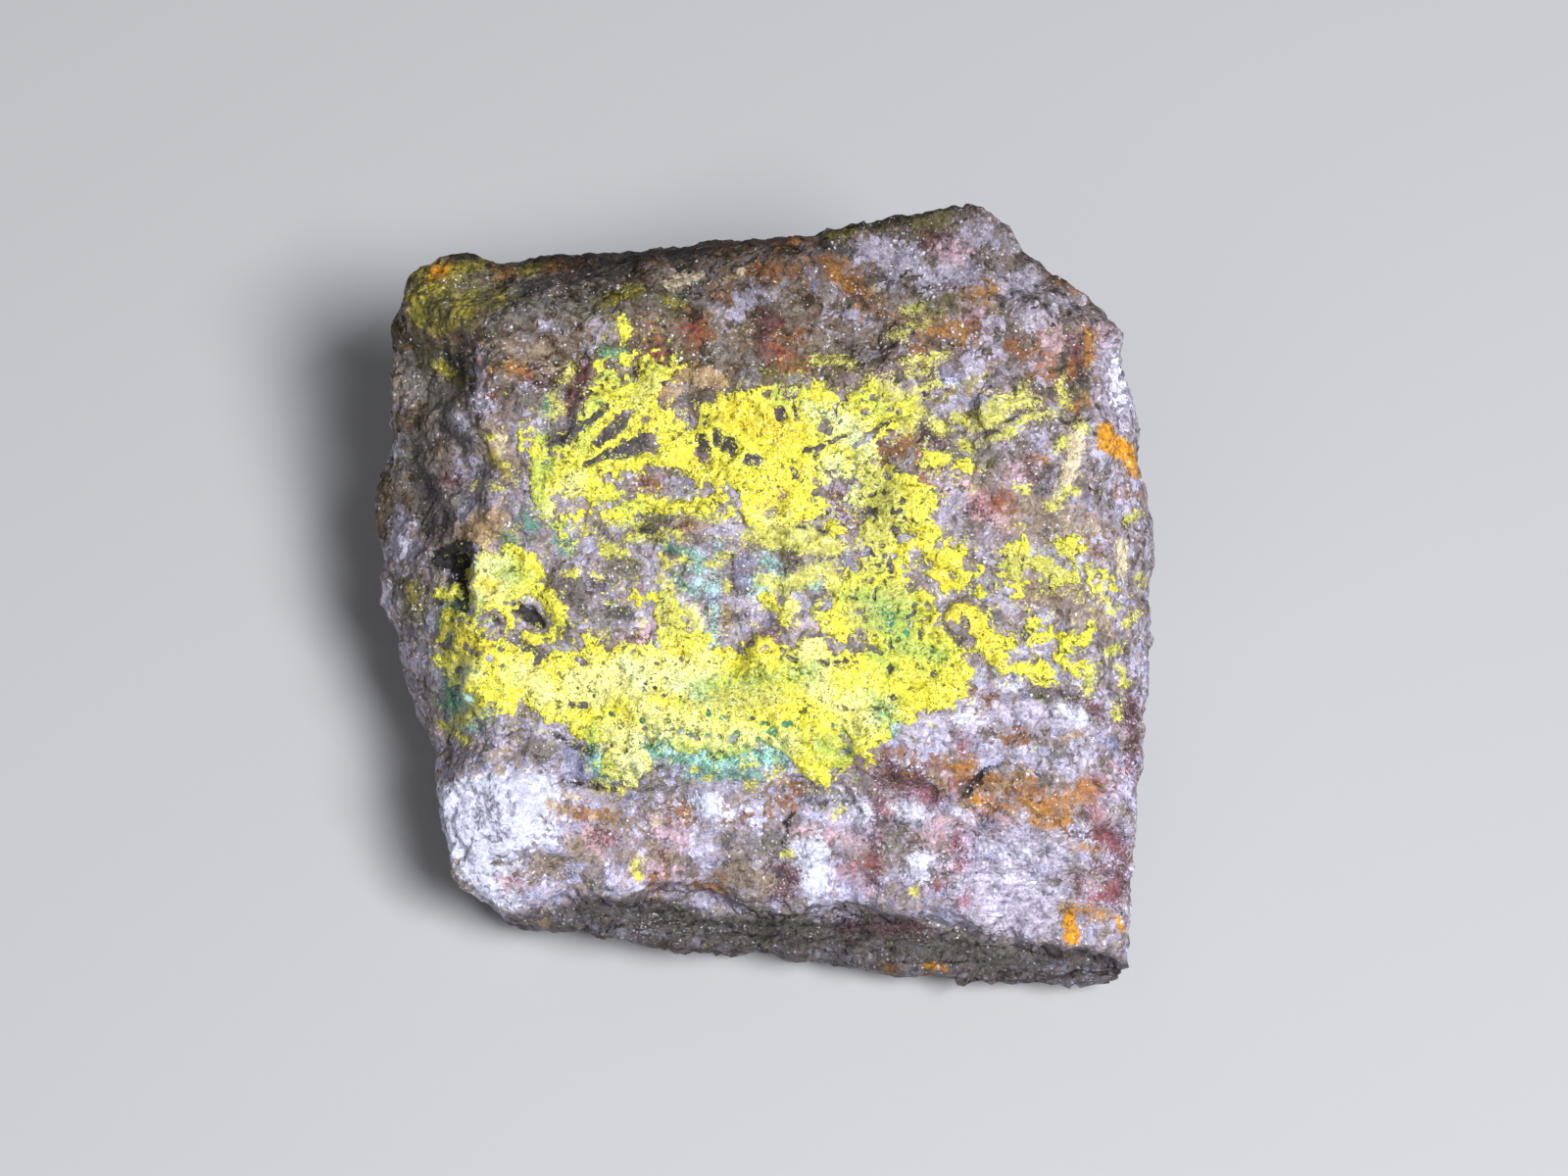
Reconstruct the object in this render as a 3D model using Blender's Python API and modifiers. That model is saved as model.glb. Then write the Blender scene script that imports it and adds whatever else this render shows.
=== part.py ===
"""Francevillite specimen: a broken block of quartz and feldspar rock with a crust of yellow crystals.

Metres, +Z up. The block lies on a flat break, with its origin at the middle of its underside. Its show face leans
back from the -Y side. The shapes are worked out in the show frame, in millimetres: u runs to the right across the
show face, v up it, and w out of it.
"""

import math

import bmesh
import bpy
from mathutils import Matrix, Vector, noise
from mathutils.bvhtree import BVHTree

MM = 0.001

# Driving dimensions, in millimetres and degrees
SHOW_LEAN = 30.0            # the show face's tilt from level
SHOW_MIDDLE = Vector((-0.1, -3.4, 30.6))   # where u = v = w = 0 lies over the origin
BLOCK_TOP, BLOCK_BOTTOM = 6.0, -66.0       # the block's rough slab runs between these in w
FLARE = 1.0 / 450.0         # how much wider the slab gets for each millimetre down
FLARE_MIDDLE = (2.0, 1.1)
VOXEL = 0.9
ROCK_TRIANGLES = 7300
CRUST_GRID = 1.25           # spacing of the crusts' points
CRUST_GAP = 0.30            # clear of the rock under them
CRUST_EDGE, CRUST_THICKNESS, CRUST_LUMPS = 0.40, 1.00, 0.45
CRUST_MARGIN = 6.0          # how far a crust's grid reaches past its strokes
LOOK_RINGS, LOOK_TURNS = (0.5, 1.0), 6     # where a crust looks for the rock under each of its points
LOOK_FROM = 30.0
DRAWN_UNIT = 0.89           # the crusts below are drawn in units of this

# Roughness of the rock: (height, size) of its swells and lumps, and (size, slope, step) of its chips
SWELLS, LUMPS = (0.55, 13.0), (0.25, 2.6)
COARSE_CHIPS, FINE_CHIPS = (9.0, 0.55, 1.6), (4.0, 0.55, 0.7)
STEP_DEPTH, STEP_DEEPENING = 1.0, 0.5      # the deepening is on the right
LEDGE_DEPTH = 4.4

# Outline of the block seen square on to its show face: (u, v), clockwise from the top left corner
OUTLINE = [
    (-32.8, 31.3), (-22.5, 30.6), (-15.8, 31.2), (-6.9, 31.9), (4.6, 32.9), (14.4, 34.8), (20.2, 35.9),
    (22.8, 33.2), (26.6, 29.8), (31.0, 26.1), (32.4, 23.6), (32.9, 20.0), (34.2, 15.3), (34.0, 11.0),
    (35.1, 6.9), (35.1, -0.7), (34.7, -7.8), (34.0, -12.6), (33.3, -21.0), (33.6, -28.3), (34.0, -36.6),
    (28.3, -36.0), (23.4, -36.5), (19.0, -36.5), (16.8, -34.4), (10.0, -33.5), (6.6, -32.4), (-1.6, -32.0),
    (-6.9, -31.5), (-13.2, -30.6), (-16.0, -29.8), (-21.0, -29.5), (-23.8, -27.6), (-26.4, -25.2),
    (-27.8, -21.6), (-29.0, -16.6), (-30.1, -13.0), (-31.6, -8.7), (-33.2, -3.4), (-34.8, 1.1),
    (-35.3, 6.4), (-34.7, 9.8), (-33.6, 12.0), (-33.2, 18.9), (-33.3, 24.4), (-32.9, 27.8),
]

# Breaks that shape the front, in the show frame: a point on each and the way it faces
FRONT_BREAKS = {
    "show_face": ((0.0, 0.0, 0.0), (-0.01, 0.02, 1.0)),
    "lower_slope": ((0.0, -14.0, 0.0), (0.03, -0.22, 1.0)),
    "lower_left_corner": ((-25.0, -22.0, -2.6), (-0.55, -0.42, 1.0)),
    "upper_slope": ((0.0, 23.0, -0.3), (0.02, 0.34, 1.0)),
    "upper_right_slope": ((22.0, 22.0, -1.2), (0.36, 0.30, 1.0)),
    "top_side": ((-4.1, 29.9, -2.8), (-0.42, 1.85, 1.0)),
    "left_side": ((-25.6, 14.0, -0.6), (-1.60, 0.05, 1.0)),
    "lower_left_side": ((-29.0, -5.0, -1.0), (-1.90, -0.35, 1.0)),
    "right_side": ((32.0, -20.0, -2.0), (1.90, -0.05, 1.0)),
    "middle_right_side": ((33.4, 4.0, -1.4), (1.50, 0.10, 1.0)),
    "upper_right_side": ((29.9, 18.0, -2.0), (1.25, 0.12, 1.0)),
}

# Breaks that shape the back and the undersides, over the origin with +Z up
BACK_BREAKS = {
    "back": ((0.0, 31.5, 20.0), (0.06, 1.0, -0.02)),
    "back_left": ((-33.6, 31.0, 28.0), (-0.75, 0.65, -0.16)),
    "back_right": ((27.5, 24.0, 15.0), (0.72, 0.70, -0.10)),
    "left_underside": ((-34.2, 2.0, 14.0), (-1.0, -0.05, -0.42)),
    "right_underside": ((34.4, -6.0, 10.0), (1.0, -0.02, -0.34)),
    "front_underside": ((0.0, -30.2, 4.8), (0.03, -0.72, -0.70)),
    "front_left_underside": ((-27.0, -24.0, 6.0), (-0.62, -0.55, -0.55)),
    "back_underside": ((4.0, 30.0, 5.0), (0.05, 0.72, -0.66)),
}

# The upper layer of the show face ends in a low step along this line, and the rock below it lies deeper
LAYER_EDGE = [
    (-30.5, -12.8), (-24.7, -11.6), (-19.4, -11.6), (-15.8, -15.2), (-12.3, -17.4), (-6.9, -15.9), (2.0, -15.9),
    (6.4, -16.9), (11.7, -14.6), (14.4, -11.0), (19.8, -8.4), (25.0, -8.1), (28.7, -8.7), (34.5, -12.4),
]
# The bottom ledge: the front breaks back under this line
LEDGE_LINE = [
    (-24.0, -28.6), (-17.6, -27.0), (-11.0, -26.4), (-5.2, -26.7), (-1.6, -28.3), (3.0, -28.4), (8.2, -27.9),
    (16.2, -28.4), (20.0, -30.2), (24.2, -31.4), (34.5, -32.4),
]

# Hollows and bosses of the show face: (u, v, radius, depth), a boss with its depth below zero
HOLLOWS = [
    (-27.6, 2.9, 1.7, 2.6),
    (-27.2, 21.6, 3.2, 1.8),
    (-20.6, -1.6, 1.9, 0.9),
    (18.6, -17.2, 1.5, 1.0),
    (3.4, 21.0, 2.6, 0.9),
    (-27.0, 12.0, 3.0, 1.0),
    (-22.0, 7.0, 4.5, -1.1),
    (2.0, 29.0, 4.0, -1.2),
    (-3.0, 2.0, 6.0, 0.8),
    (-9.5, -12.0, 7.0, -0.7),
    (12.0, -21.0, 6.0, -0.9),
    (-22.0, -20.0, 6.0, -0.8),
    (26.0, -20.0, 7.0, -0.6),
]

# Crusts, each as strokes of (u, v, radius) points in drawn units
CRUSTS = {
    "francevillite_crust": [
        [(-22.5, 12.2, 2.0), (-17.8, 13.0, 1.6), (-12.8, 14.0, 1.1), (-8.8, 15.5, 1.5), (-7.2, 15.6, 1.6),
         (-6.6, 13.2, 1.2)],
        [(-21.4, 13.6, 1.5), (-18.0, 17.6, 1.3), (-14.8, 20.6, 1.9), (-11.5, 22.4, 1.8), (-8.8, 23.8, 1.1)],
        [(-19.8, 14.4, 1.0), (-15.8, 17.6, 1.1), (-13.0, 19.6, 1.0), (-10.2, 18.6, 1.0), (-8.4, 16.0, 1.2)],
        [(-22.0, 11.8, 1.6), (-17.6, 11.0, 1.4), (-15.4, 10.6, 1.0)],
        [(-21.6, 9.8, 0.8), (-18.0, 9.3, 0.8), (-13.4, 9.4, 1.0), (-10.4, 9.8, 1.2), (-7.6, 9.2, 0.9),
         (-4.6, 10.0, 1.5)],
        [(-22.9, 12.2, 1.6), (-23.0, 9.4, 0.9), (-21.2, 8.2, 0.8)],
        [(-7.0, 14.0, 1.2), (-5.2, 12.6, 1.4), (-3.0, 13.0, 1.8), (0.0, 13.6, 2.6), (3.2, 14.2, 3.0)],
        [(-5.4, 18.0, 1.3), (-2.6, 18.8, 2.2), (0.8, 18.0, 2.8), (4.2, 17.0, 3.2), (5.6, 20.2, 1.6)],
        [(-4.6, 10.2, 1.6), (0.0, 10.6, 2.2), (3.6, 9.6, 2.0), (6.4, 8.4, 1.5)],
        [(4.0, 15.4, 3.0), (7.6, 14.8, 2.6), (9.4, 12.4, 2.2), (12.4, 10.6, 2.8), (15.0, 9.6, 2.1),
         (13.8, 7.0, 2.2), (11.8, 4.2, 2.2), (10.6, 0.4, 2.4), (13.4, -1.2, 2.8), (14.6, -4.4, 2.8),
         (15.0, -7.4, 3.0)],
        [(15.8, 7.6, 1.3), (17.8, 5.2, 1.3), (18.6, 2.8, 1.5), (20.0, 1.8, 0.9)],
        [(-31.6, -5.2, 2.0), (-28.0, -7.2, 2.6), (-24.6, -7.6, 2.4), (-21.0, -8.6, 3.2), (-17.6, -9.8, 4.4),
         (-12.8, -10.2, 5.1), (-7.8, -10.0, 5.3), (-2.8, -9.8, 5.3), (2.2, -9.8, 5.3), (7.2, -10.4, 5.2),
         (11.6, -9.4, 4.5), (15.8, -8.6, 3.5), (18.4, -8.4, 2.3), (20.0, -8.2, 1.3)],
        [(-14.6, -14.2, 2.6), (-13.8, -17.2, 1.5)],
        [(4.0, -15.0, 2.0), (5.4, -17.2, 1.2)],
        [(9.8, -13.2, 2.0), (11.8, -12.8, 1.3)],
        [(-9.4, -4.4, 1.2), (-9.8, 0.2, 0.9)],
        [(5.2, -5.0, 1.2), (7.2, -2.6, 1.2), (9.6, -0.6, 1.8)],
        [(-28.8, -5.6, 2.4), (-28.9, -1.8, 1.1), (-28.2, 2.0, 1.4), (-25.4, 3.3, 1.6), (-23.5, 3.4, 1.5),
         (-22.6, 1.2, 1.0), (-20.9, -0.8, 0.9), (-21.0, -3.2, 0.9)],
        [(-30.4, -4.4, 1.8), (-31.6, -2.2, 1.0)],
    ],
    "right_crust_patch": [
        [(23.4, 2.6, 1.1), (25.4, 3.6, 1.7), (28.8, 3.6, 1.7), (32.2, 3.4, 1.4), (34.4, 2.4, 0.9)],
        [(26.0, 4.0, 1.2), (26.4, 5.4, 0.9)],
        [(30.0, 4.2, 1.2), (31.6, 5.6, 0.9)],
    ],
    "right_crust_streak": [
        [(20.4, -1.9, 0.9), (22.2, -2.8, 1.3), (23.8, -4.4, 1.4), (24.4, -6.2, 1.2), (26.6, -7.0, 1.0),
         (28.6, -7.2, 1.5), (30.6, -5.8, 0.9), (31.8, -4.4, 1.0), (33.4, -4.0, 0.8)],
        [(24.0, -4.2, 1.1), (26.8, -4.8, 0.8)],
    ],
}
# Gaps in the crusts where the rock shows, in the same units
GAPS = [
    [(-17.0, 13.8, 0.5), (-13.6, 16.2, 0.9)],
    [(-14.6, 16.0, 0.5), (-12.4, 17.6, 0.7)],
    [(-8.0, 20.4, 1.3), (-6.4, 20.6, 0.9)],
    [(-5.6, 15.6, 1.0), (-3.4, 16.2, 1.0)],
    [(6.4, 11.2, 1.1), (8.4, 11.6, 0.9)],
    [(16.0, 3.0, 1.0), (16.6, 1.2, 1.0)],
    [(-25.0, -1.0, 1.3), (-23.0, -2.0, 1.7)],
]


def smooth_step(low, high, value):
    """0 at low, 1 at high, and smooth between them."""
    t = min(1.0, max(0.0, (value - low) / (high - low)))
    return t * t * (3.0 - 2.0 * t)


def height_at(line, u):
    """The v of a line of (u, v) points at u."""
    if u <= line[0][0]:
        return line[0][1]
    for (u0, v0), (u1, v1) in zip(line, line[1:]):
        if u <= u1:
            return v0 + (v1 - v0) * (u - u0) / (u1 - u0)
    return line[-1][1]


def show_frame():
    """Takes a point of the show frame to its place over the origin, both in millimetres."""
    return Matrix.Translation(SHOW_MIDDLE) @ Matrix.Rotation(math.radians(SHOW_LEAN), 4, "X")


def cut_off(mesh, point, normal):
    """Cuts off what lies past a plane, and closes the cut."""
    geometry = mesh.verts[:] + mesh.edges[:] + mesh.faces[:]
    bmesh.ops.bisect_plane(mesh, geom=geometry, dist=1e-5, plane_co=point, plane_no=normal, clear_outer=True)
    open_edges = [edge for edge in mesh.edges if edge.is_boundary]
    bmesh.ops.holes_fill(mesh, edges=open_edges, sides=0)


def outline_slab():
    """The outline as a thick slab in the show frame: a flat filled curve with depth, made a mesh."""
    curve = bpy.data.curves.new("outline", "CURVE")
    curve.dimensions = "2D"
    curve.fill_mode = "BOTH"
    curve.extrude = (BLOCK_TOP - BLOCK_BOTTOM) / 2
    spline = curve.splines.new("POLY")
    spline.points.add(len(OUTLINE) - 1)
    for point, (u, v) in zip(spline.points, OUTLINE):
        point.co = (u, v, 0.0, 1.0)
    spline.use_cyclic_u = True
    guide = bpy.data.objects.new("outline_guide", curve)
    bpy.context.collection.objects.link(guide)
    mesh = bmesh.new()
    mesh.from_mesh(evaluated_mesh(guide))
    bpy.data.objects.remove(guide)
    bmesh.ops.remove_doubles(mesh, verts=mesh.verts, dist=1e-4)
    bmesh.ops.translate(mesh, verts=mesh.verts, vec=(0.0, 0.0, (BLOCK_TOP + BLOCK_BOTTOM) / 2))
    middle = Vector((*FLARE_MIDDLE, 0.0))
    for vertex in mesh.verts:
        away = vertex.co - middle
        vertex.co += Vector((away.x, away.y, 0.0)) * (-FLARE * vertex.co.z)
    bmesh.ops.recalc_face_normals(mesh, faces=mesh.faces)
    return mesh


def evaluated_mesh(obj):
    """A new mesh of the object as its modifiers leave it."""
    graph = bpy.context.evaluated_depsgraph_get()
    return bpy.data.meshes.new_from_object(obj.evaluated_get(graph))


def with_modifier(mesh, kind, **settings):
    """A mesh as one modifier leaves it."""
    helper = bpy.data.objects.new("helper", mesh)
    bpy.context.collection.objects.link(helper)
    modifier = helper.modifiers.new(kind.title(), kind)
    for name, value in settings.items():
        setattr(modifier, name, value)
    made = evaluated_mesh(helper)
    bpy.data.objects.remove(helper)
    return made


def broken_block():
    """The slab cut by every break, in place over the origin, in millimetres."""
    mesh = outline_slab()
    for point, normal in FRONT_BREAKS.values():
        cut_off(mesh, Vector(point), Vector(normal).normalized())
    bmesh.ops.transform(mesh, matrix=show_frame(), verts=mesh.verts)
    for point, normal in BACK_BREAKS.values():
        cut_off(mesh, Vector(point), Vector(normal).normalized())
    bmesh.ops.triangulate(mesh, faces=mesh.faces)
    made = bpy.data.meshes.new("broken_block")
    mesh.to_mesh(made)
    mesh.free()
    return made


def noise_vector(p):
    """Three noises as a vector, the same at each run."""
    shifts = (Vector((9.3, -1.5, -7.9)), Vector((2.1, 5.8, 1.1)), Vector((-4.4, 3.7, 8.6)))
    return Vector([noise.noise(p + shift) for shift in shifts])


def chip_height(p, size, slope, step):
    """Height of the chips at p: each cell of a cellular pattern is a small leaning plane, blended at its edges."""
    bent = p + noise_vector(p / (0.7 * size)) * (0.25 * size)
    distances, centres = noise.voronoi(bent / size)
    heights = []
    for centre in (centres[0] * size, centres[1] * size):
        lean = noise_vector(centre * 0.37)
        heights.append(slope * lean.dot(bent - centre) + step * noise.noise(centre * 0.61))
    share = 0.5 - 0.5 * smooth_step(0.0, 0.22, distances[1] - distances[0])
    return heights[0] * (1.0 - share) + heights[1] * share


def roughness_height(p):
    """Height of the broken rock over its breaks, in millimetres."""
    swells = SWELLS[0] * noise.fractal(p / SWELLS[1], 1.0, 2.0, 3)
    lumps = LUMPS[0] * noise.noise(p / LUMPS[1])
    return swells + lumps + chip_height(p, *COARSE_CHIPS) + chip_height(p, *FINE_CHIPS)


def show_face_depth(u, v):
    """How far the step and the ledge set the show face back, in millimetres."""
    at = Vector((u, v, 0.0))
    v += 0.9 * noise.noise(at / 3.4) + 0.5 * noise.noise(at / 1.3)
    below_layer = height_at(LAYER_EDGE, u) - v
    step = STEP_DEPTH + STEP_DEEPENING * smooth_step(12.0, 22.0, u)
    depth = step * smooth_step(-0.2, 0.7, below_layer) * (1.0 - 0.75 * smooth_step(2.0, 11.0, below_layer))
    below_ledge = height_at(LEDGE_LINE, u) - v
    reach = smooth_step(-24.0, -15.0, u)
    groove = smooth_step(-0.1, 1.0, below_ledge) * (1.0 - 0.55 * smooth_step(1.6, 3.6, below_ledge))
    return depth + LEDGE_DEPTH * reach * groove


def hollow_depth(u, v):
    """How far the hollows set the show face back."""
    depth = 0.0
    for centre_u, centre_v, radius, deep in HOLLOWS:
        away = math.hypot(u - centre_u, v - centre_v) / radius
        depth += deep * (1.0 - smooth_step(0.25, 1.0, away))
    return depth


def roughen(mesh):
    """Moves each point of the block by the rock's roughness, and sets the show face back at its step and ledge."""
    frame = show_frame()
    to_show = frame.inverted()
    outwards = frame.to_3x3() @ Vector((0.0, 0.0, 1.0))
    normals = [vertex.normal.copy() for vertex in mesh.vertices]
    for vertex, normal in zip(mesh.vertices, normals):
        p = vertex.co.copy()
        u, v, w = to_show @ p
        facing = normal.dot(outwards)
        sunk = show_face_depth(u, v) + hollow_depth(u, v)
        sunk *= smooth_step(-0.15, 0.25, facing) * smooth_step(-22.0, -15.0, w)
        near_rim = smooth_step(0.65, 0.25, abs(facing)) * smooth_step(-34.0, -22.0, w)
        vertex.co = p + normal * (roughness_height(p) * (1.0 - 0.65 * near_rim)) - outwards * sunk


def decimated(mesh, triangles):
    """The mesh with about that many triangles."""
    mesh.calc_loop_triangles()
    return with_modifier(mesh, "DECIMATE", ratio=triangles / len(mesh.loop_triangles))


def rock_mesh():
    """The block in millimetres, roughened and cut flat where it lies."""
    mesh = with_modifier(broken_block(), "REMESH", mode="VOXEL", voxel_size=VOXEL)
    roughen(mesh)
    body = bmesh.new()
    body.from_mesh(decimated(mesh, ROCK_TRIANGLES))
    cut_off(body, Vector((0.0, 0.0, 0.0)), Vector((0.0, 0.0, -1.0)))
    bmesh.ops.triangulate(body, faces=body.faces)
    return body


def stroke_distance(stroke, u, v):
    """How far inside a stroke (u, v) is, in millimetres: below zero outside it."""
    best = -math.inf
    for (u0, v0, r0), (u1, v1, r1) in zip(stroke, stroke[1:]):
        run_u, run_v = u1 - u0, v1 - v0
        t = ((u / DRAWN_UNIT - u0) * run_u + (v / DRAWN_UNIT - v0) * run_v) / (run_u * run_u + run_v * run_v)
        t = min(1.0, max(0.0, t))
        away = math.hypot(u / DRAWN_UNIT - u0 - t * run_u, v / DRAWN_UNIT - v0 - t * run_v)
        best = max(best, r0 + t * (r1 - r0) - away)
    return best * DRAWN_UNIT


def crust_field(strokes, u, v):
    """How far inside a crust (u, v) is, with a ragged edge and the gaps taken out."""
    inside = max(stroke_distance(stroke, u, v) for stroke in strokes)
    gaps = max(stroke_distance(stroke, u, v) for stroke in GAPS)
    ragged = 0.35 * noise.noise(Vector((u, v, 4.0)) / 1.7)
    return min(inside + ragged, -gaps)


def rock_top(tree, u, v):
    """The highest w of the rock within a crust point's reach, looking straight down on the show face."""
    places = [(u, v)]
    for reach in LOOK_RINGS:
        for turn in range(LOOK_TURNS):
            angle = math.tau * turn / LOOK_TURNS
            places.append((u + reach * math.cos(angle), v + reach * math.sin(angle)))
    down = Vector((0.0, 0.0, -1.0))
    hits = [tree.ray_cast(Vector((*place, LOOK_FROM)), down)[0] for place in places]
    return max(hit.z for hit in hits if hit is not None)


def crust_mesh(strokes, tree):
    """A crust as a closed body over the rock, in the show frame: its drawn shape, laid on and thickened."""
    points = [point for stroke in strokes for point in stroke]
    low_u, high_u = [pick(p[0] for p in points) * DRAWN_UNIT for pick in (min, max)]
    low_v, high_v = [pick(p[1] for p in points) * DRAWN_UNIT for pick in (min, max)]
    count_u = int((high_u - low_u + 2 * CRUST_MARGIN) / CRUST_GRID)
    count_v = int((high_v - low_v + 2 * CRUST_MARGIN) / CRUST_GRID)
    mesh = bmesh.new()
    bmesh.ops.create_grid(mesh, x_segments=count_u, y_segments=count_v, size=0.5)
    bmesh.ops.triangulate(mesh, faces=mesh.faces, quad_method="ALTERNATE")
    for vertex in mesh.verts:
        u = (low_u + high_u) / 2 + vertex.co.x * count_u * CRUST_GRID
        v = (low_v + high_v) / 2 + vertex.co.y * count_v * CRUST_GRID
        vertex.co = (u, v, crust_field(strokes, u, v))
    geometry = mesh.verts[:] + mesh.edges[:] + mesh.faces[:]
    bmesh.ops.bisect_plane(mesh, geom=geometry, dist=0.16, plane_co=(0, 0, 0), plane_no=(0, 0, 1), clear_inner=True)
    keep_one_sheet(mesh)
    thickness = {}
    for vertex in mesh.verts:
        u, v, inside = vertex.co
        lumps = CRUST_LUMPS * noise.noise(Vector((u, v, 0.0)) / 1.4)
        thickness[vertex.index] = CRUST_EDGE + (CRUST_THICKNESS + lumps - CRUST_EDGE) * smooth_step(0.0, 1.2, inside)
        vertex.co.z = rock_top(tree, u, v) + CRUST_GAP
    return thickened(mesh, thickness)


def keep_one_sheet(mesh):
    """Keeps the largest connected sheet, with no loose edges and no points where it touches itself."""
    loose = [edge for edge in mesh.edges if not edge.link_faces]
    bmesh.ops.delete(mesh, geom=loose, context="EDGES")
    bmesh.ops.delete(mesh, geom=[vertex for vertex in mesh.verts if not vertex.link_faces], context="VERTS")
    pinched = [vertex for vertex in mesh.verts if sum(edge.is_boundary for edge in vertex.link_edges) > 2]
    while pinched:
        bmesh.ops.delete(mesh, geom=pinched, context="VERTS")
        pinched = [vertex for vertex in mesh.verts if sum(edge.is_boundary for edge in vertex.link_edges) > 2]
    left = set(mesh.faces)
    largest = set()
    while left:
        group, waiting = set(), [left.pop()]
        while waiting:
            face = waiting.pop()
            group.add(face)
            for edge in face.edges:
                for other in edge.link_faces:
                    if other in left:
                        left.remove(other)
                        waiting.append(other)
        if len(group) > len(largest):
            largest = group
    bmesh.ops.delete(mesh, geom=[face for face in mesh.faces if face not in largest], context="FACES")
    bmesh.ops.triangulate(mesh, faces=mesh.faces)
    mesh.verts.index_update()


def thickened(mesh, thickness):
    """The sheet as a closed body, raised by each point's thickness."""
    heights = {tuple(vertex.co): thickness[vertex.index] for vertex in mesh.verts}
    made = bmesh.ops.extrude_face_region(mesh, geom=mesh.faces[:], use_keep_orig=True)
    for item in made["geom"]:
        if isinstance(item, bmesh.types.BMVert):
            item.co.z += heights[tuple(item.co)]
    bmesh.ops.triangulate(mesh, faces=mesh.faces)
    bmesh.ops.recalc_face_normals(mesh, faces=mesh.faces)
    return mesh


def material(name, colour, roughness):
    """A plain Principled material."""
    made = bpy.data.materials.new(name)
    made.use_nodes = True
    shader = made.node_tree.nodes["Principled BSDF"]
    shader.inputs["Base Color"].default_value = (*colour, 1.0)
    shader.inputs["Roughness"].default_value = roughness
    return made


def add_piece(name, body, collection, finish):
    """An object of this mesh, taken from millimetres to metres."""
    bmesh.ops.scale(body, vec=(MM, MM, MM), verts=body.verts)
    mesh = bpy.data.meshes.new(name)
    body.to_mesh(mesh)
    body.free()
    mesh.materials.append(finish)
    piece = bpy.data.objects.new(name, mesh)
    collection.objects.link(piece)
    return piece


def main():
    """Builds the rock and the crusts over it."""
    for obj in list(bpy.data.objects):
        bpy.data.objects.remove(obj)
    specimen = bpy.data.collections.new("francevillite_specimen")
    bpy.context.scene.collection.children.link(specimen)
    rock = rock_mesh()
    frame = show_frame()
    flat = rock.copy()
    bmesh.ops.transform(flat, matrix=frame.inverted(), verts=flat.verts)
    tree = BVHTree.FromBMesh(flat)
    flat.free()
    add_piece("matrix_rock", rock, specimen, material("rock", (0.55, 0.50, 0.50), 0.6))
    yellow = material("yellow_crystals", (0.86, 0.74, 0.03), 0.5)
    for name, strokes in CRUSTS.items():
        crust = crust_mesh(strokes, tree)
        bmesh.ops.transform(crust, matrix=frame, verts=crust.verts)
        add_piece(name, crust, specimen, yellow)


main()
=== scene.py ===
"""Finish of the francevillite specimen: a block of quartz and feldspar rock under a crust of yellow crystals.

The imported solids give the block's shape. The block gets its grain, chips and stains here, and the crusts are
grown over it. Markings are laid out in drawn units on the show plane, X to the right and Y up, and are
carried onto the rock along lines from the viewing point.
"""

import math

import bpy
import numpy as np
from bpy.props import FloatProperty, FloatVectorProperty, PointerProperty
from mathutils import Matrix, Vector, noise
from mathutils.bvhtree import BVHTree


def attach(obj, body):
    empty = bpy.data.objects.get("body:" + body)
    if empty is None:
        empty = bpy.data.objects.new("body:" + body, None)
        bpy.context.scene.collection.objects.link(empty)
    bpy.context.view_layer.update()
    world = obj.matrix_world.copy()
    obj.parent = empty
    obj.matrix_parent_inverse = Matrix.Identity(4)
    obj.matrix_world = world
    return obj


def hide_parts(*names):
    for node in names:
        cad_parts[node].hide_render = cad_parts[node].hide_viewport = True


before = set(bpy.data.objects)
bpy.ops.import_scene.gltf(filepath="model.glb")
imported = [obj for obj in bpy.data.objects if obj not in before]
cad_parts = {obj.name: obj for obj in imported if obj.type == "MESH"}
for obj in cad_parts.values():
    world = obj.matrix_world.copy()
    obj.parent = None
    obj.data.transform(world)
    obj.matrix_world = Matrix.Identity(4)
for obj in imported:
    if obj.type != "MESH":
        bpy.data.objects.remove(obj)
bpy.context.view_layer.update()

bl_info = {
    "name": "Francevillite specimen",
    "version": (1, 0, 0),
    "blender": (4, 5, 0),
    "location": "3D View > Sidebar > Specimen",
    "description": "Rock, crystal crusts and studio of a francevillite specimen",
    "category": "Object",
}

MM = 0.001

# The show face, as in the solids
SHOW_LEAN = math.radians(30.0)
SHOW_MIDDLE = Vector((-0.1, -3.4, 30.6)) * MM
SHOW_FRAME = Matrix.Translation(SHOW_MIDDLE) @ Matrix.Rotation(SHOW_LEAN, 4, "X")
SHOW_TURN = np.array(SHOW_FRAME.to_3x3())
SHOW_OUT = np.array(SHOW_FRAME.to_3x3() @ Vector((0.0, 0.0, 1.0)))

# The viewing point, and the unit that the markings are drawn in
VIEW_DISTANCE = 450.0 * MM
VIEW_CENTRE = Vector((1.96, 1.07, 0.0)) * MM
VIEW_WIDTH = 142.4 * MM
VIEW_OVER = VIEW_CENTRE + Vector((0.0, 0.0, VIEW_DISTANCE))
VIEW_POINT = SHOW_FRAME @ VIEW_OVER
SENSOR_WIDTH = 36.0
UNIT = 0.89 * MM

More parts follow.
